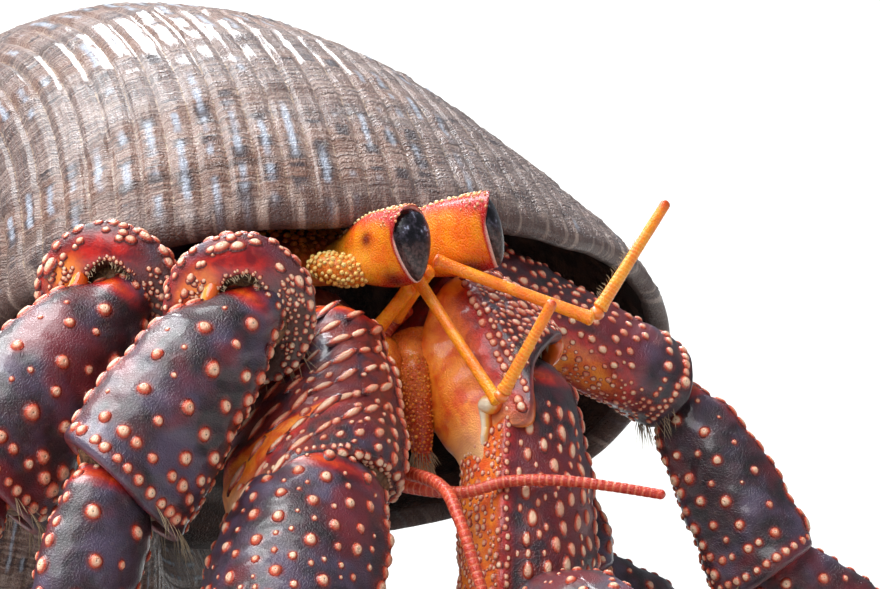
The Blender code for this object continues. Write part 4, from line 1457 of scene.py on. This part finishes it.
def claw_part(limb, part, tip, pearls):
    points, normals, faces = carved(f"{limb}_{part}")
    piece(f"{limb}_{part}_plate", points, faces, PLATE, replaces=(f"{limb}_{part}",), slot="plate_dark",
          marks={"horn": horn_tip(points, tip, 4.0)})
    spots = carved_spots(points, normals, 300, (0.12, 0.36),
                         lambda p, n: (np.linalg.norm(p - tip, axis=1) > 3.0) & (p[:, 2] > 0.8), 1.75)
    add_pearls(pearls, spots, 8)
    print(limb, part, "carries", len(spots), "pearls")


print("the right palm, carved, has", len(carved("claw_right_palm")[0]), "points")

# %% Build the arms
def condyle(shape, knobs, bristles):
    """The white S-shaped hinge at the edge of the left arm's orange flap, and the flap's pale fringe."""
    axis = shape.axes[0]
    share = np.linspace(0, 1, 72)
    back = 1.0 + 0.6 * np.cos(share * 1.4 * math.tau) + 0.9 * share
    size = 0.46 + 0.3 * bell(share, 0.14) - 0.16 * share
    points, out = shape.rim_line(np.radians(np.interp(share, (0, 1), (7, -34))), -0.1, 0.0)
    for point, away, step, radius in zip(points, out, back, size):
        ways, sizes = (away, np.cross(axis, away), axis), np.array((1, 0.9, 0.9)) * radius
        add_ball(knobs, point - axis * step, ways, sizes, mark=True)
    roots, out = shape.rim_line(np.radians(np.arange(-78, 2, 2.2)), 0.4, 0.0)
    ways = [unit(axis + away * 0.2 + chance.normal(0, 0.16, 3)) for away in out]
    add_bristles(bristles, roots, ways, 0.75, 0.05)


def clawed_arm(limb, girth):
    joints = joints_of(limb, ARM_PIECES)
    pearls, *fillings = limb_bunches()
    for part, start, end in zip(ARM_PIECES[1:3], joints[1:], joints[2:]):
        node = f"{limb}_{part}"
        shape = PlateShape(node, start, end, ARM_FACING[limb], **ARM_SHAPES[node])
        rim_pearls = RIDGE_PEARLS if node == "claw_right_merus" else ()
        pearled_plate(shape, f"{node}_plate", ARM_PATTERNS[node], rim_pearls, pearls, 4200)
        if node == "claw_left_merus":
            condyle(shape, *fillings[1:])
        add_joint(shape, *fillings, girth, JOINT_DEPTHS.get(node, 1.0))
    for part in ("palm", "finger"):
        claw_part(limb, part, joints[-1], pearls)
    finish_limb(limb, pearls, *fillings)


clawed_arm("claw_right", 1.1)
clawed_arm("claw_left", 0.95)

# %% [markdown]
# ## The soft body and the hips
#
# Little of these shows between the plates and under the shell's lip. The solids are carved smooth, as
# the claws were. The chest and the hind body are one soft skin, because no joint parts them.

# %% The soft body
def flesh_finish():
    tree = new_finish("soft_flesh", 0.42, coat=(0.2, 0.03), soft=(0.3, 0.0015))
    _, _, speck = chitin(tree)
    wrinkle = tree.noise(tree.where(), 700.0, 4.0, 0.6, 0.8)
    colour = tree.coats(tree.mix(tree.step(wrinkle, 0.35, 0.65), (128, 66, 52), (190, 120, 92)),
                        (tree.times(speck, 0.4), (90, 40, 40)))
    return dress(tree, colour, None, wrinkle, 0.0003)


def soft_body(nodes):
    skin = Bunch()
    for node in nodes:
        points, _, faces = carved(node, voxel=0.6, smooth=10, swell=0.1)
        skin.add(points, faces)
    skin.make("soft_body", flesh_finish(), replaces=nodes, slot="soft_flesh")
    print("the soft body is", skin.count, "points")


soft_body(("thorax", "abdomen"))

# %% The hips
def hip(limb):
    points, _, faces = carved(f"{limb}_hip", voxel=0.4, smooth=10)
    piece(f"{limb}_hip_plate", points, faces, PLATE, replaces=(f"{limb}_hip",), slot="plate_dark",
          marks={"warm": np.full(len(points), 0.35)})
    print(limb, "hip is", np.round(np.ptp(points, axis=0), 1), "mm")


for limb in ("leg_2_right", "leg_3_right", "leg_2_left", "leg_3_left", "claw_right", "claw_left"):
    hip(limb)

# %% [markdown]
# ## The shield and the scales beside the eyes
#
# The shield is the hard part of the back. Its front corner shows under the shell's lip as an orange
# ridge of granules. Beside each eye stands a small scale set with cream beads. Such granules are
# plain round domes, so they get a simpler helper than the pearls.

# %% Orange finishes and granules
def orange_finish(name, deep, bright):
    tree = new_finish(name, 0.34, coat=(0.3, 0.12), soft=(0.2, 0.0012))
    pores, cloud, speck = chitin(tree)
    share = tree.plus(tree.times(cloud, 0.6), tree.times(tree.mark("warm"), 0.7))
    colour = tree.coats(tree.mix(share, deep, bright), (tree.mark("red"), (176, 24, 14)),
                        (tree.mark("pale"), (250, 214, 150)),
                        (tree.times(speck, 0.35), (150, 50, 20)))
    return dress(tree, colour, tree.between(pores, 0.26, 0.42), pores, 0.00004)


MOUTH = orange_finish("mouth_orange", (206, 70, 18), (250, 150, 40))
SCALE = orange_finish("scale_orange", (232, 112, 14), (250, 156, 30))
SCALE_BEAD = orange_finish("scale_bead", (250, 168, 54), (255, 222, 136))
# Each ring of a granule: distance from its middle, and height, both in its radii.
BEAD_RINGS = np.array(((1.0, -0.2), (0.97, 0.25), (0.76, 0.62), (0.42, 0.84)))
BEAD_TOP, BEAD_MARKS = 0.9, ("warm", "red", "pale")


def add_beads(bunch, spots, sides=9, **marks):
    """Plain round granules, without a base ring."""
    ring = turns(sides)
    faces = dome_faces(len(BEAD_RINGS), sides)
    for spot in spots:
        point, normal, _, size, _, tint = spot
        shape = np.vstack([dome(spot, ring, BEAD_RINGS), point + normal * size * BEAD_TOP])
        bunch.add(shape, faces, **{"warm": tint, **marks})


print("orange finishes:", [finish.name for finish in (MOUTH, SCALE, SCALE_BEAD)])

# %% The shield and the eye scales
def shield():
    points, normals, faces = carved("shield", voxel=0.4, smooth=8)
    front = points[:, 1].min()
    piece("shield_plate", points, faces, PLATE, replaces=("shield",), slot="plate_dark",
          marks={"warm": np.clip(1.2 - (points[:, 1] - front) / 5.0, 0, 1)})
    granules = Bunch(*BEAD_MARKS)
    add_beads(granules, carved_spots(points, normals, 260, (0.16, 0.32),
                                     lambda p, n: (p[:, 1] < front + 5.5) & (n[:, 2] > -0.2), 1.05))
    granules.make("shield_granules", MOUTH, slot="mouth_orange")
    print("the shield has", len(granules.points), "granules")


def eye_scale(side):
    middle = middle_of(corners_of(f"acicle_{side}")) + BACK_SIDE * 0.4 + UP * 0.4
    long = unit(np.array((0.62 if side == "right" else -0.3, -0.75, -0.2)))
    across = unit(np.cross(long, UP))
    lobe, beads = Bunch("rise"), Bunch(*BEAD_MARKS)
    add_ball(lobe, middle, (long, across, np.cross(across, long)), (2.0, 0.85, 1.0), rows=40, columns=48)
    shape = lobe.points[0]
    normals = units((shape - middle) / (1.6, 1.4, 1.0))
    add_beads(beads, carved_spots(shape, normals, 260, (0.13, 0.2), None, 0.92))
    lobe.make(f"eye_scale_{side}", SCALE, replaces=(f"acicle_{side}",), slot="mouth_orange")
    beads.make(f"eye_scale_{side}_beads", SCALE_BEAD)
    print("eye scale", side, "has", len(beads.points), "beads")


SIDES = ("right", "left")
shield()
for side in SIDES:
    eye_scale(side)

# %% [markdown]
# ## The eyes
#
# Each eye is a wedge: narrow at its root and tall at the black cornea, which stands like a drop on
# its point in a thin pale rim. The stalk is orange, with a red brow over the cornea, rows of cream
# granules along its upper edge, a dark stain under the rim, and on the right one a dark spot. The
# stalk is a grid whose girth goes over from the frame's to the cornea's outline, so the two meet.

# %% The eye finishes
def eyestalk_finish():
    tree = new_finish("eyestalk_orange", 0.3, coat=(0.4, 0.1), soft=(0.25, 0.001))
    pores, cloud, _ = chitin(tree)
    colour = tree.coats(
        tree.mix(cloud, (246, 104, 8), (255, 152, 18)),
        # The pale mark: the stalk's pale root, and a painted highlight on its side
        (tree.mark("pale"), (255, 190, 60)),
        (tree.step(tree.mark("red"), 0.15, 0.8), (190, 16, 12)),
        (tree.mark("spot"), (110, 14, 12)),
        (tree.mark("ring"), (232, 170, 158)))
    return dress(tree, colour, tree.between(pores, 0.2, 0.36), pores, 0.00003)


def cornea_finish():
    tree = new_finish("cornea_black", 0.3, coat=(0.25, 0.1), Specular_IOR_Level=0.3)
    _, cloud, _ = chitin(tree, **{"Pore size": 9000.0})
    low = tree.mark("low")
    mottle = tree.noise(tree.where(), 1500.0, 3.0, 0.7)
    speckle = tree.noise(tree.where(), 4200.0, 2.0, 0.7)
    lower = tree.mix(tree.step(speckle, 0.4, 0.65), (42, 28, 28), (92, 68, 66))
    # Bluish-white mottled patches on the upper part of the lens: painted highlights
    white = tree.times(tree.step(mottle, 0.6, 0.66), tree.step(low, 0.55, 0.3))
    # the last coat is the painted highlights
    colour = tree.coats(tree.mix(tree.step(mottle, 0.45, 0.62), (16, 14, 20), (64, 58, 70)),
                        (tree.step(low, 0.4, 0.62), lower), (white, (150, 154, 176)))
    facets = tree.add("ShaderNodeTexVoronoi", {"Vector": tree.where(), "Scale": 11000.0}).outputs["Distance"]
    return dress(tree, colour, tree.between(cloud, 0.22, 0.42), facets, 0.00001)


EYESTALK, CORNEA = eyestalk_finish(), cornea_finish()
print("eye finishes:", EYESTALK.name, "and", CORNEA.name)

# %% Shape an eyestalk
EYE_TILT = {"right": 0.0, "left": 0.55}  # the left eye looks outwards
EYE_LIFT = {"right": UP * 0.38 + BACK_SIDE * 0.1, "left": UP * 0.5 + BACK_SIDE * 0.25}
EGG = 0.4  # how much wider an eye is above its middle than below
EYE_ROWS = 60
BROW_AHEAD = 0.85
# The stalk ends in four rows that close it behind the cornea: how far ahead, and how far inwards.
EYE_LIP = ((0.02, 0.01), (0.03, 0.05), (0.0, 0.12), (-0.5, 0.4))


def egg_outline(half, tall):
    """The cornea's outline as a distance from its middle, for every column."""
    turn = np.linspace(-math.pi, math.pi, 721)
    wide, high = (half + 0.07) * np.cos(turn) * (1 + EGG * np.sin(turn)), (tall + 0.08) * np.sin(turn)
    return np.interp(PHI, np.arctan2(high, wide), np.hypot(wide, high), period=math.tau)


def eyestalk_rows(start, length, axes, field, egg, tilt, u, brow):
    """The stalk's skin as a grid, the rows that close it, and its outward directions."""
    axis, out, top = axes
    blend = np.clip((u - 0.55) / 0.42, 0, 1) ** 2
    girth = girths(field, u * 0.93) * (1 - blend) + egg * blend
    girth = girth * (1 - np.clip(1 - u / 0.06, 0, 0.9) ** 2) ** 0.5
    arch = hump(PHI, 84, 46)[None] * np.sin(math.pi * np.clip(u, 0, 1) ** 1.3)
    girth = girth + 0.55 * arch + 0.12 * brow
    direction = out * np.cos(PHI)[:, None] + top * np.sin(PHI)[:, None]
    lean = direction + tilt * np.cos(PHI)[:, None] * axis
    grid = (start + (u * (length - 0.1) + BROW_AHEAD * brow)[..., None] * axis
            + girth[..., None] * (direction + blend[..., None] * (lean - direction)))
    inner = [start + axis * (length + ahead) + (egg - step)[:, None] * lean for ahead, step in EYE_LIP]
    return grid, np.array(inner), direction


def eyestalk_marks(side, u, brow):
    """Where a stalk is red, pale (root and painted highlight), spotted or ringed; each mark has one value for
    the closing rows.
    """
    above, below = hump(PHI, 90, 34)[None], hump(PHI, 270, 24)[None]
    edge = above * np.clip(u * 4 - 0.4, 0, 1) + below * np.clip(u * 2 - 0.5, 0, 1)
    edge = np.maximum(edge, np.clip((u - 0.955) / 0.03, 0, 1) * 0.8)
    spot = bell(u - 0.68, 0.07) * hump(PHI, 32, 15)[None] * (side == "right")
    stain = bell(u - 0.84, 0.1) * hump(PHI, 286, 24)[None]
    # The patch makes part of each stalk's side pale: a painted highlight, carried by the pale mark with the
    # pale root.
    place, phi, width, weight = {"right": (0.5, 345, 40, 0.5), "left": (0.4, 14, 50, 1.0)}[side]
    patch = bell(u - place, 0.22) * hump(PHI, phi, width)[None] * weight
    root = np.clip(1 - u * 2.6, 0, 1) + patch
    ring = np.clip((u - 0.985) / 0.01, 0, 1) * np.clip(1 - 3 * brow, 0, 1)
    fields = {"red": (edge + brow, 0.2), "pale": (root, 0.0), "spot": (spot + stain + 0.35 * brow, 0.0),
              "ring": (ring, 1.0)}
    tail = np.ones((len(EYE_LIP), COLUMNS))
    return {name: np.append(np.vstack([field, tail * last]).ravel(), (0.0, last))
            for name, (field, last) in fields.items()}


print("an eyestalk has", EYE_ROWS, "rows, and", len(EYE_LIP), "more behind the cornea")

# %% Build the eyes
BEAD_LINES = [((0.2, phi), (0.97, phi), 0.5, 0.14, 1.1, 0) for phi in (76, 92, 104)]
BROW_ZONE = ((0.86, 1.0), (46, 118), (0.08, 0.14), 1.02, 1.0, 0)


def cornea(side, centre, axes, sizes, tilt):
    """The bulging lens: a ball, wider above its middle, whose low mark runs from its top to its foot."""
    (axis, out, top), (deep, half, tall) = axes, sizes
    across = out + tilt * axis
    ball = Bunch("low")
    add_ball(ball, centre, (axis, across, top), sizes, rows=40, columns=64)
    beside, above = (ball.points[0] - centre) @ out, (ball.points[0] - centre) @ top
    ball.points[0] = ball.points[0] + (beside * above / tall * EGG)[:, None] * across
    ball.marks["low"][0] = 0.5 - 0.5 * above / tall
    ball.make(f"cornea_{side}_lens", CORNEA, replaces=(f"cornea_{side}",), slot="cornea_black")
    print("cornea", side, "half sizes in mm:", np.round((half, tall, deep), 2))


def eye(side):
    node, tilt = f"eyestalk_{side}", EYE_TILT[side]
    lens = corners_of(f"cornea_{side}") + EYE_LIFT[side]
    centre, start = middle_of(lens), inner_end(node, BODY_MIDDLE)
    axes = axes_along(start, centre, (-1, 0, 0))
    deep, half, tall = (np.abs((lens - centre) @ way).max() for way in axes)
    field = soften(girth_of(node, start, centre, axes), 3)
    u = np.linspace(0, 1, EYE_ROWS)[:, None] + 0 * PHI
    brow = hump(PHI, 72, 40)[None] * np.clip((u - 0.7) / 0.3, 0, 1) ** 2
    grid, inner, direction = eyestalk_rows(start, np.linalg.norm(centre - start), axes, field,
                                           egg_outline(half, tall), tilt, u, brow)
    points, faces = closed_tube(np.concatenate([grid, inner]), mirrored(axes))
    piece(f"{node}_skin", points, faces, EYESTALK, replaces=(node,), slot="eyestalk_orange",
          marks=eyestalk_marks(side, u, brow))
    normal, along = outward(grid)
    if (normal[EYE_ROWS // 2] * direction).sum() < 0:
        normal = -normal
    beads = Bunch(*BEAD_MARKS)
    for line in BEAD_LINES:
        add_beads(beads, strew(grid, normal, along, (line,), (), 0), pale=0.9, red=0.28)
    add_beads(beads, strew(grid, normal, along, (), (BROW_ZONE,), 2400), pale=0.35, red=0.75)
    beads.make(f"{node}_granules", MOUTH)
    cornea(side, centre, axes, (deep, half, tall), tilt)


for side in SIDES:
    eye(side)

# %% [markdown]
# ## The feelers
#
# The antennules are bent rods that the crab holds up to smell with: two smooth lengths, then a short
# whip of fine rings with a fringe of scent hairs. The antennae are long red whips, each a chain of
# many rings. Both are tubes drawn along a smooth line, with the rings in the radius itself.

# %% Draw a ringed tube
ROUND_START, ROUND_END = 0.25, 0.3  # lengths in mm over which a tube's ends are rounded


def smooth_route(points, spacing):
    """An even, smooth line through a list of points (Catmull-Rom)."""
    p = np.vstack([2 * points[0] - points[1], points, 2 * points[-1] - points[-2]])
    t = np.linspace(0, 1, 40, endpoint=False)[:, None]
    parts = [0.5 * (2 * b + (c - a) * t + (2 * a - 5 * b + 4 * c - d) * t ** 2
                    + (3 * b - 3 * c + d - a) * t ** 3)
             for a, b, c, d in zip(p, p[1:], p[2:], p[3:])]
    line = np.vstack([*parts, points[-1]])
    travel = travelled(line)
    stops = np.linspace(0, travel[-1], int(travel[-1] / spacing))
    return np.stack([np.interp(stops, travel, line[:, k]) for k in range(3)], -1), stops


def tube_along(line, radius, sides=24, flat=1.0):
    """A tube with its own radius at each point of a line, closed at both ends; flat squashes it."""
    ways = units(np.gradient(line, axis=0))
    side = units(np.cross(ways, UP))
    other = np.cross(side, ways)
    ring = turns(sides)
    around = side[:, None] * np.cos(ring)[:, None] * flat + other[:, None] * np.sin(ring)[:, None]
    points, faces = closed_tube(line[:, None] + radius[:, None, None] * around, False)
    return points, faces, np.append(np.repeat(np.arange(len(line)), sides), (0, len(line) - 1))


def round_ends(stops, radius):
    """Fades a tube's radius to a blunt round end at both ends."""
    near = np.clip(stops / ROUND_START, 0.02, 1)
    far = np.clip((stops[-1] - stops) / ROUND_END, 0.02, 1)
    return radius * np.sqrt(1 - (1 - near) ** 2) * np.sqrt(1 - (1 - far) ** 2)


def feeler_finish(name, deep, bright, line):
    tree = new_finish(name, 0.34, coat=(0.3, 0.12), soft=(0.3, 0.0008))
    pores, cloud, _ = chitin(tree)
    colour = tree.coats(tree.mix(cloud, deep, bright), (tree.mark("ring"), line),
                        (tree.mark("red"), (186, 34, 20)))
    return dress(tree, colour, tree.between(pores, 0.26, 0.42), pores, 0.00003)


FEELER = feeler_finish("feeler_orange", (246, 122, 8), (255, 162, 18), (255, 196, 90))
WHIP = feeler_finish("feeler_red", (178, 40, 20), (216, 76, 40), (228, 132, 92))
print("feeler finishes:", FEELER.name, "and", WHIP.name)

# %% The antennules
ROD_RING, ROD_FLAT = 6, 0.82
ROD_RADII = {"base": 0.52, "stalk": 0.44, "whip": 0.46}
WHIP_RINGS = 0.26


def rod(node, radius, rings=0.0):
    """One straight length of an antennule; rings is the pitch of its rings, or 0 for none."""
    start = inner_end(node, BODY_MIDDLE, ROD_RING)
    end = outer_end(node, start, ROD_RING)
    line, stops = smooth_route(np.array((start, (start + end) / 2, end)), 0.05)
    share = stops / stops[-1]
    width = radius * (1 - 0.12 * np.sin(share * math.pi) + 0.22 * bell(share, 0.05)
                      + 0.16 * bell(share - 1.0, 0.06) * (0 if rings else 1))
    ring, red = np.zeros(len(line)), np.clip(1 - stops / 0.5, 0, 0.5)
    if rings:
        wave = np.cos(stops / rings * math.tau)
        width = width * (1 - 0.05 * np.clip(wave, 0.2, 1) * (share < 0.7)) * (1 - 0.25 * share ** 2)
        ring = np.clip(wave - 0.4, 0, 1) * 0.9 * (share < 0.7)
        red = np.clip((share - 0.9) * 8, 0, 0.8)
    shape, faces, row = tube_along(line, round_ends(stops, width), flat=ROD_FLAT)
    piece(f"{node}_rod", shape, faces, FEELER, replaces=(node,), slot="feeler_orange",
          marks={"ring": ring[row], "red": red[row]})
    return line


def antennule(side):
    name = f"antennule_{side}"
    for part, radius in ROD_RADII.items():
        line = rod(f"{name}_{part}", radius, WHIP_RINGS if part == "whip" else 0.0)
    fringe, knots = Bunch("rise"), Bunch("rise")
    low = line[int(len(line) * 0.08):int(len(line) * 0.62):3]
    way = unit(line[-1] - line[0])
    down = unit(np.cross(np.cross(way, -BACK_SIDE), way))
    ways = [unit(down + way * 0.5 + chance.normal(0, 0.25, 3)) for _ in low]
    add_bristles(fringe, low + down * 0.36, ways, 0.5, 0.022)
    fringe.make(f"{name}_hairs", BRISTLE)
    axes = (way, down, np.cross(way, down))
    add_ball(knots, line[0] - way * 0.25, axes, (0.42, 0.5, 0.46), rows=10, columns=14)
    knots.make(f"{name}_elbow", KNUCKLE)
    print(name, "has", len(low), "scent hairs")


for side in SIDES:
    antennule(side)

# %% The antennae
# Routes are in millimetres from a place on the floor under the head, root first.
ORIGIN = APEX - (-36.3, 40.2, 32.8)
ANTENNAE = {
    "right": ((-1.4, -3.0, 31.4), (-1.6, -5.4, 29.4), (-2.4, -8.4, 26.4), (-3.6, -12.0, 23.6),
              (-4.8, -15.4, 23.1), (-5.8, -18.6, 21.6), (-6.3, -21.0, 18.4), (-6.8, -23.6, 14.6),
              (-7.4, -27.0, 12.0)),
    "left": ((3.6, -2.6, 31.9), (2.2, -6.0, 30.4), (0.9, -7.0, 28.6), (-0.4, -7.9, 25.4),
             (-2.0, -10.0, 22.2), (-0.8, -12.2, 21.6), (1.4, -14.8, 22.4), (3.4, -17.4, 22.6),
             (5.6, -19.8, 22.3), (8.0, -22.2, 21.8)),
}
RING_PITCH = 0.46
# The first points after the root pass behind the right arm: how many, and how far aside.
HIDDEN_POINTS = {"right": 3, "left": 4}
BEHIND_ARM = -2.6 * BACK_SIDE + np.array((0.64, 0.76, 0.0)) * 2.4


def antenna(side):
    route = np.array(ANTENNAE[side]) + ORIGIN
    route[1:1 + HIDDEN_POINTS[side]] += BEHIND_ARM
    line, stops = smooth_route(route, RING_PITCH / 7)
    share = stops / stops[-1]
    wave = np.cos(stops / RING_PITCH * math.tau)
    radius = (0.52 - 0.2 * share) * (1 - 0.07 * np.clip(wave, 0, 1) ** 2)
    shape, faces, row = tube_along(line, round_ends(stops, radius), 22)
    piece(f"antenna_{side}_whip", shape, faces, WHIP, replaces=(f"antenna_{side}",), slot="feeler_red",
          marks={"ring": (np.clip(wave - 0.55, 0, 1) * 2)[row], "red": (np.clip(share - 0.9, 0, 1) * 5)[row]})
    print("antenna", side, "has", int(stops[-1] / RING_PITCH), "rings")


for side in SIDES:
    antenna(side)

# %% [markdown]
# ## The mouth
#
# Between the arms hang the outer mouthparts: short orange blocks and longer red-orange palps with
# spots and a fringe of bristles at the tip. Both are carved from the frame's solids, and then drawn
# out or fattened, because soft parts like these bulge more than a straight solid shows.

# %% The mouthparts
PALP_STRETCH, BLOCK_STRETCH = (0.85, 0.85, 1.28), (1.35, 1.3, 0.95)
PALP_WIDTHS = ((0.0, 0.35, 0.85, 1.0), (0.62, 0.85, 1.15, 1.0))  # heights up the palp, and widths there


def palp_shape(points):
    """Draws a palp out downwards and slims it at its foot; gives its points and their heights."""
    foot = points[points[:, 2].argmin()]
    points = foot + (points - foot) * PALP_STRETCH
    high = (points[:, 2] - points[:, 2].min()) / np.ptp(points[:, 2])
    stem = points[:, :2].mean(axis=0)
    points[:, :2] = stem + (points[:, :2] - stem) * np.interp(high, *PALP_WIDTHS)[:, None]
    return points - BACK_SIDE * 0.45, high


def mouth_skin(name, node, points, faces, low, warm, red):
    pale = np.clip(1 - (points[:, 2] - low) / 1.2, 0, 0.6)
    piece(name, points, faces, MOUTH, replaces=(node,), slot="mouth_orange",
          marks={"warm": warm, "red": red, "pale": pale})


def mouthpart(side):
    block, _, faces = carved(f"maxilliped_{side}_base", voxel=0.16, smooth=8)
    low = block[:, 2].min()
    block = block.mean(axis=0) + (block - block.mean(axis=0)) * BLOCK_STRETCH + BACK_SIDE * 0.5
    blank = np.zeros(len(block))
    mouth_skin(f"mouth_{side}_base", f"maxilliped_{side}_base", block, faces, low, blank + 0.35, blank)
    points, normals, faces = carved(f"maxilliped_{side}", voxel=0.16, smooth=8)
    low = points[:, 2].min()
    points, high = palp_shape(points)
    granules, fringe = Bunch(*BEAD_MARKS), Bunch("rise")
    add_beads(granules, carved_spots(points, normals, 420, (0.06, 0.13), None, 1.25), red=0.05)
    granules.make(f"mouth_{side}_granules", MOUTH)
    upper = 0.6 * (high - 0.5)
    mouth_skin(f"mouth_{side}_palp", f"maxilliped_{side}", points, faces, low, upper + 0.35, 0.7 - upper)
    roots = carved_spots(points, normals, 160, (0.05, 0.08), lambda p, n: p[:, 2] < low + 1.8, 1.0)
    ways = [unit(root[1] * 0.5 + (0, -0.3, -1) + chance.normal(0, 0.15, 3)) for root in roots]
    add_bristles(fringe, [root[0] for root in roots], ways, 0.9, 0.035)
    fringe.make(f"mouth_{side}_fringe", BRISTLE)
    print("mouth", side, "has", len(granules.points), "granules and", len(roots), "bristles")


for side in SIDES:
    mouthpart(side)

# %% [markdown]
# ## The camera, the light and the floor
#
# The camera looks up close from the front right, a little above the eyes, with a long lens so that
# little is distorted. It is set out from the right eye. The light is a plain soft studio: one big
# square lamp over the shell, a fainter one in front, one behind, a pale floor and a pale room.

# %% Set up the camera
AIM = middle_of(corners_of("cornea_right")) + (5.64, 3.88, -3.67)
VIEW_TURN, VIEW_RISE, VIEW_REACH = -40, 8, 0.3
SENSOR, LENS = 36.0, 191.45


def set_out(made, turn, rise, reach):
    """Puts a camera or lamp round the crab, by turn and rise in degrees and reach in metres."""
    turn, rise = math.radians(turn), math.radians(rise)
    back = Vector((math.sin(turn) * math.cos(rise), -math.cos(turn) * math.cos(rise), math.sin(rise)))
    made.location = Vector(AIM * MM) + back * reach
    made.rotation_euler = back.to_track_quat("Z", "Y").to_euler()
    bpy.context.scene.collection.objects.link(made)


def camera():
    made = bpy.data.objects.new("camera", bpy.data.cameras.new("camera"))
    set_out(made, VIEW_TURN, VIEW_RISE, VIEW_REACH)
    made.data.sensor_width, made.data.lens = SENSOR, LENS
    made.data.clip_start, made.data.clip_end = 0.01, 20.0
    bpy.context.scene.camera = made
    print("the camera is at", np.round(made.location, 3), "m")


camera()

# %% Light the studio
def softbox(name, turn, rise, reach, size, power, colour):
    """A square lamp that looks where the camera looks; size in metres and power in watts."""
    made = bpy.data.objects.new(name, bpy.data.lights.new(name, "AREA"))
    set_out(made, turn, rise, reach)
    made.data.shape = "SQUARE"
    made.data.size, made.data.energy, made.data.color = size, power, colour


def studio():
    world = bpy.data.worlds.new("studio")
    world.use_nodes = True
    room = world.node_tree.nodes["Background"].inputs
    room["Color"].default_value, room["Strength"].default_value = (0.84, 0.9, 1.0, 1), 0.24
    bpy.context.scene.world = world
    bpy.context.scene.view_settings.view_transform = "Standard"
    softbox("over_light", -156, 57, 1.3, 0.9, 28.0, (0.97, 0.99, 1.0))
    softbox("front_light", -84, 54, 1.2, 1.0, 17.0, (0.98, 0.98, 1.0))
    softbox("back_light", 150, 40, 1.2, 0.35, 12.0, (0.95, 0.98, 1.0))
    print("lamps:", len(bpy.data.lights))


studio()

# %% Lay the floor
FLOOR_HALF = 4.0


def floor_finish():
    tree = new_finish("pale_floor", 0.7)
    fine = tree.noise(tree.where(), 60.0, 3.0)
    return dress(tree, tree.mix(fine, (178, 178, 175), (185, 185, 182)), None, fine, 0.0001)


def floor():
    mesh = bpy.data.meshes.new("floor")
    shape = bmesh.new()
    bmesh.ops.create_grid(shape, x_segments=2, y_segments=2, size=FLOOR_HALF)
    shape.to_mesh(mesh)
    shape.free()
    mesh.materials.append(floor_finish())
    made = bpy.data.objects.new("floor", mesh)
    bpy.context.scene.collection.objects.link(made)
    print("the floor is", 2 * FLOOR_HALF, "m wide")


floor()
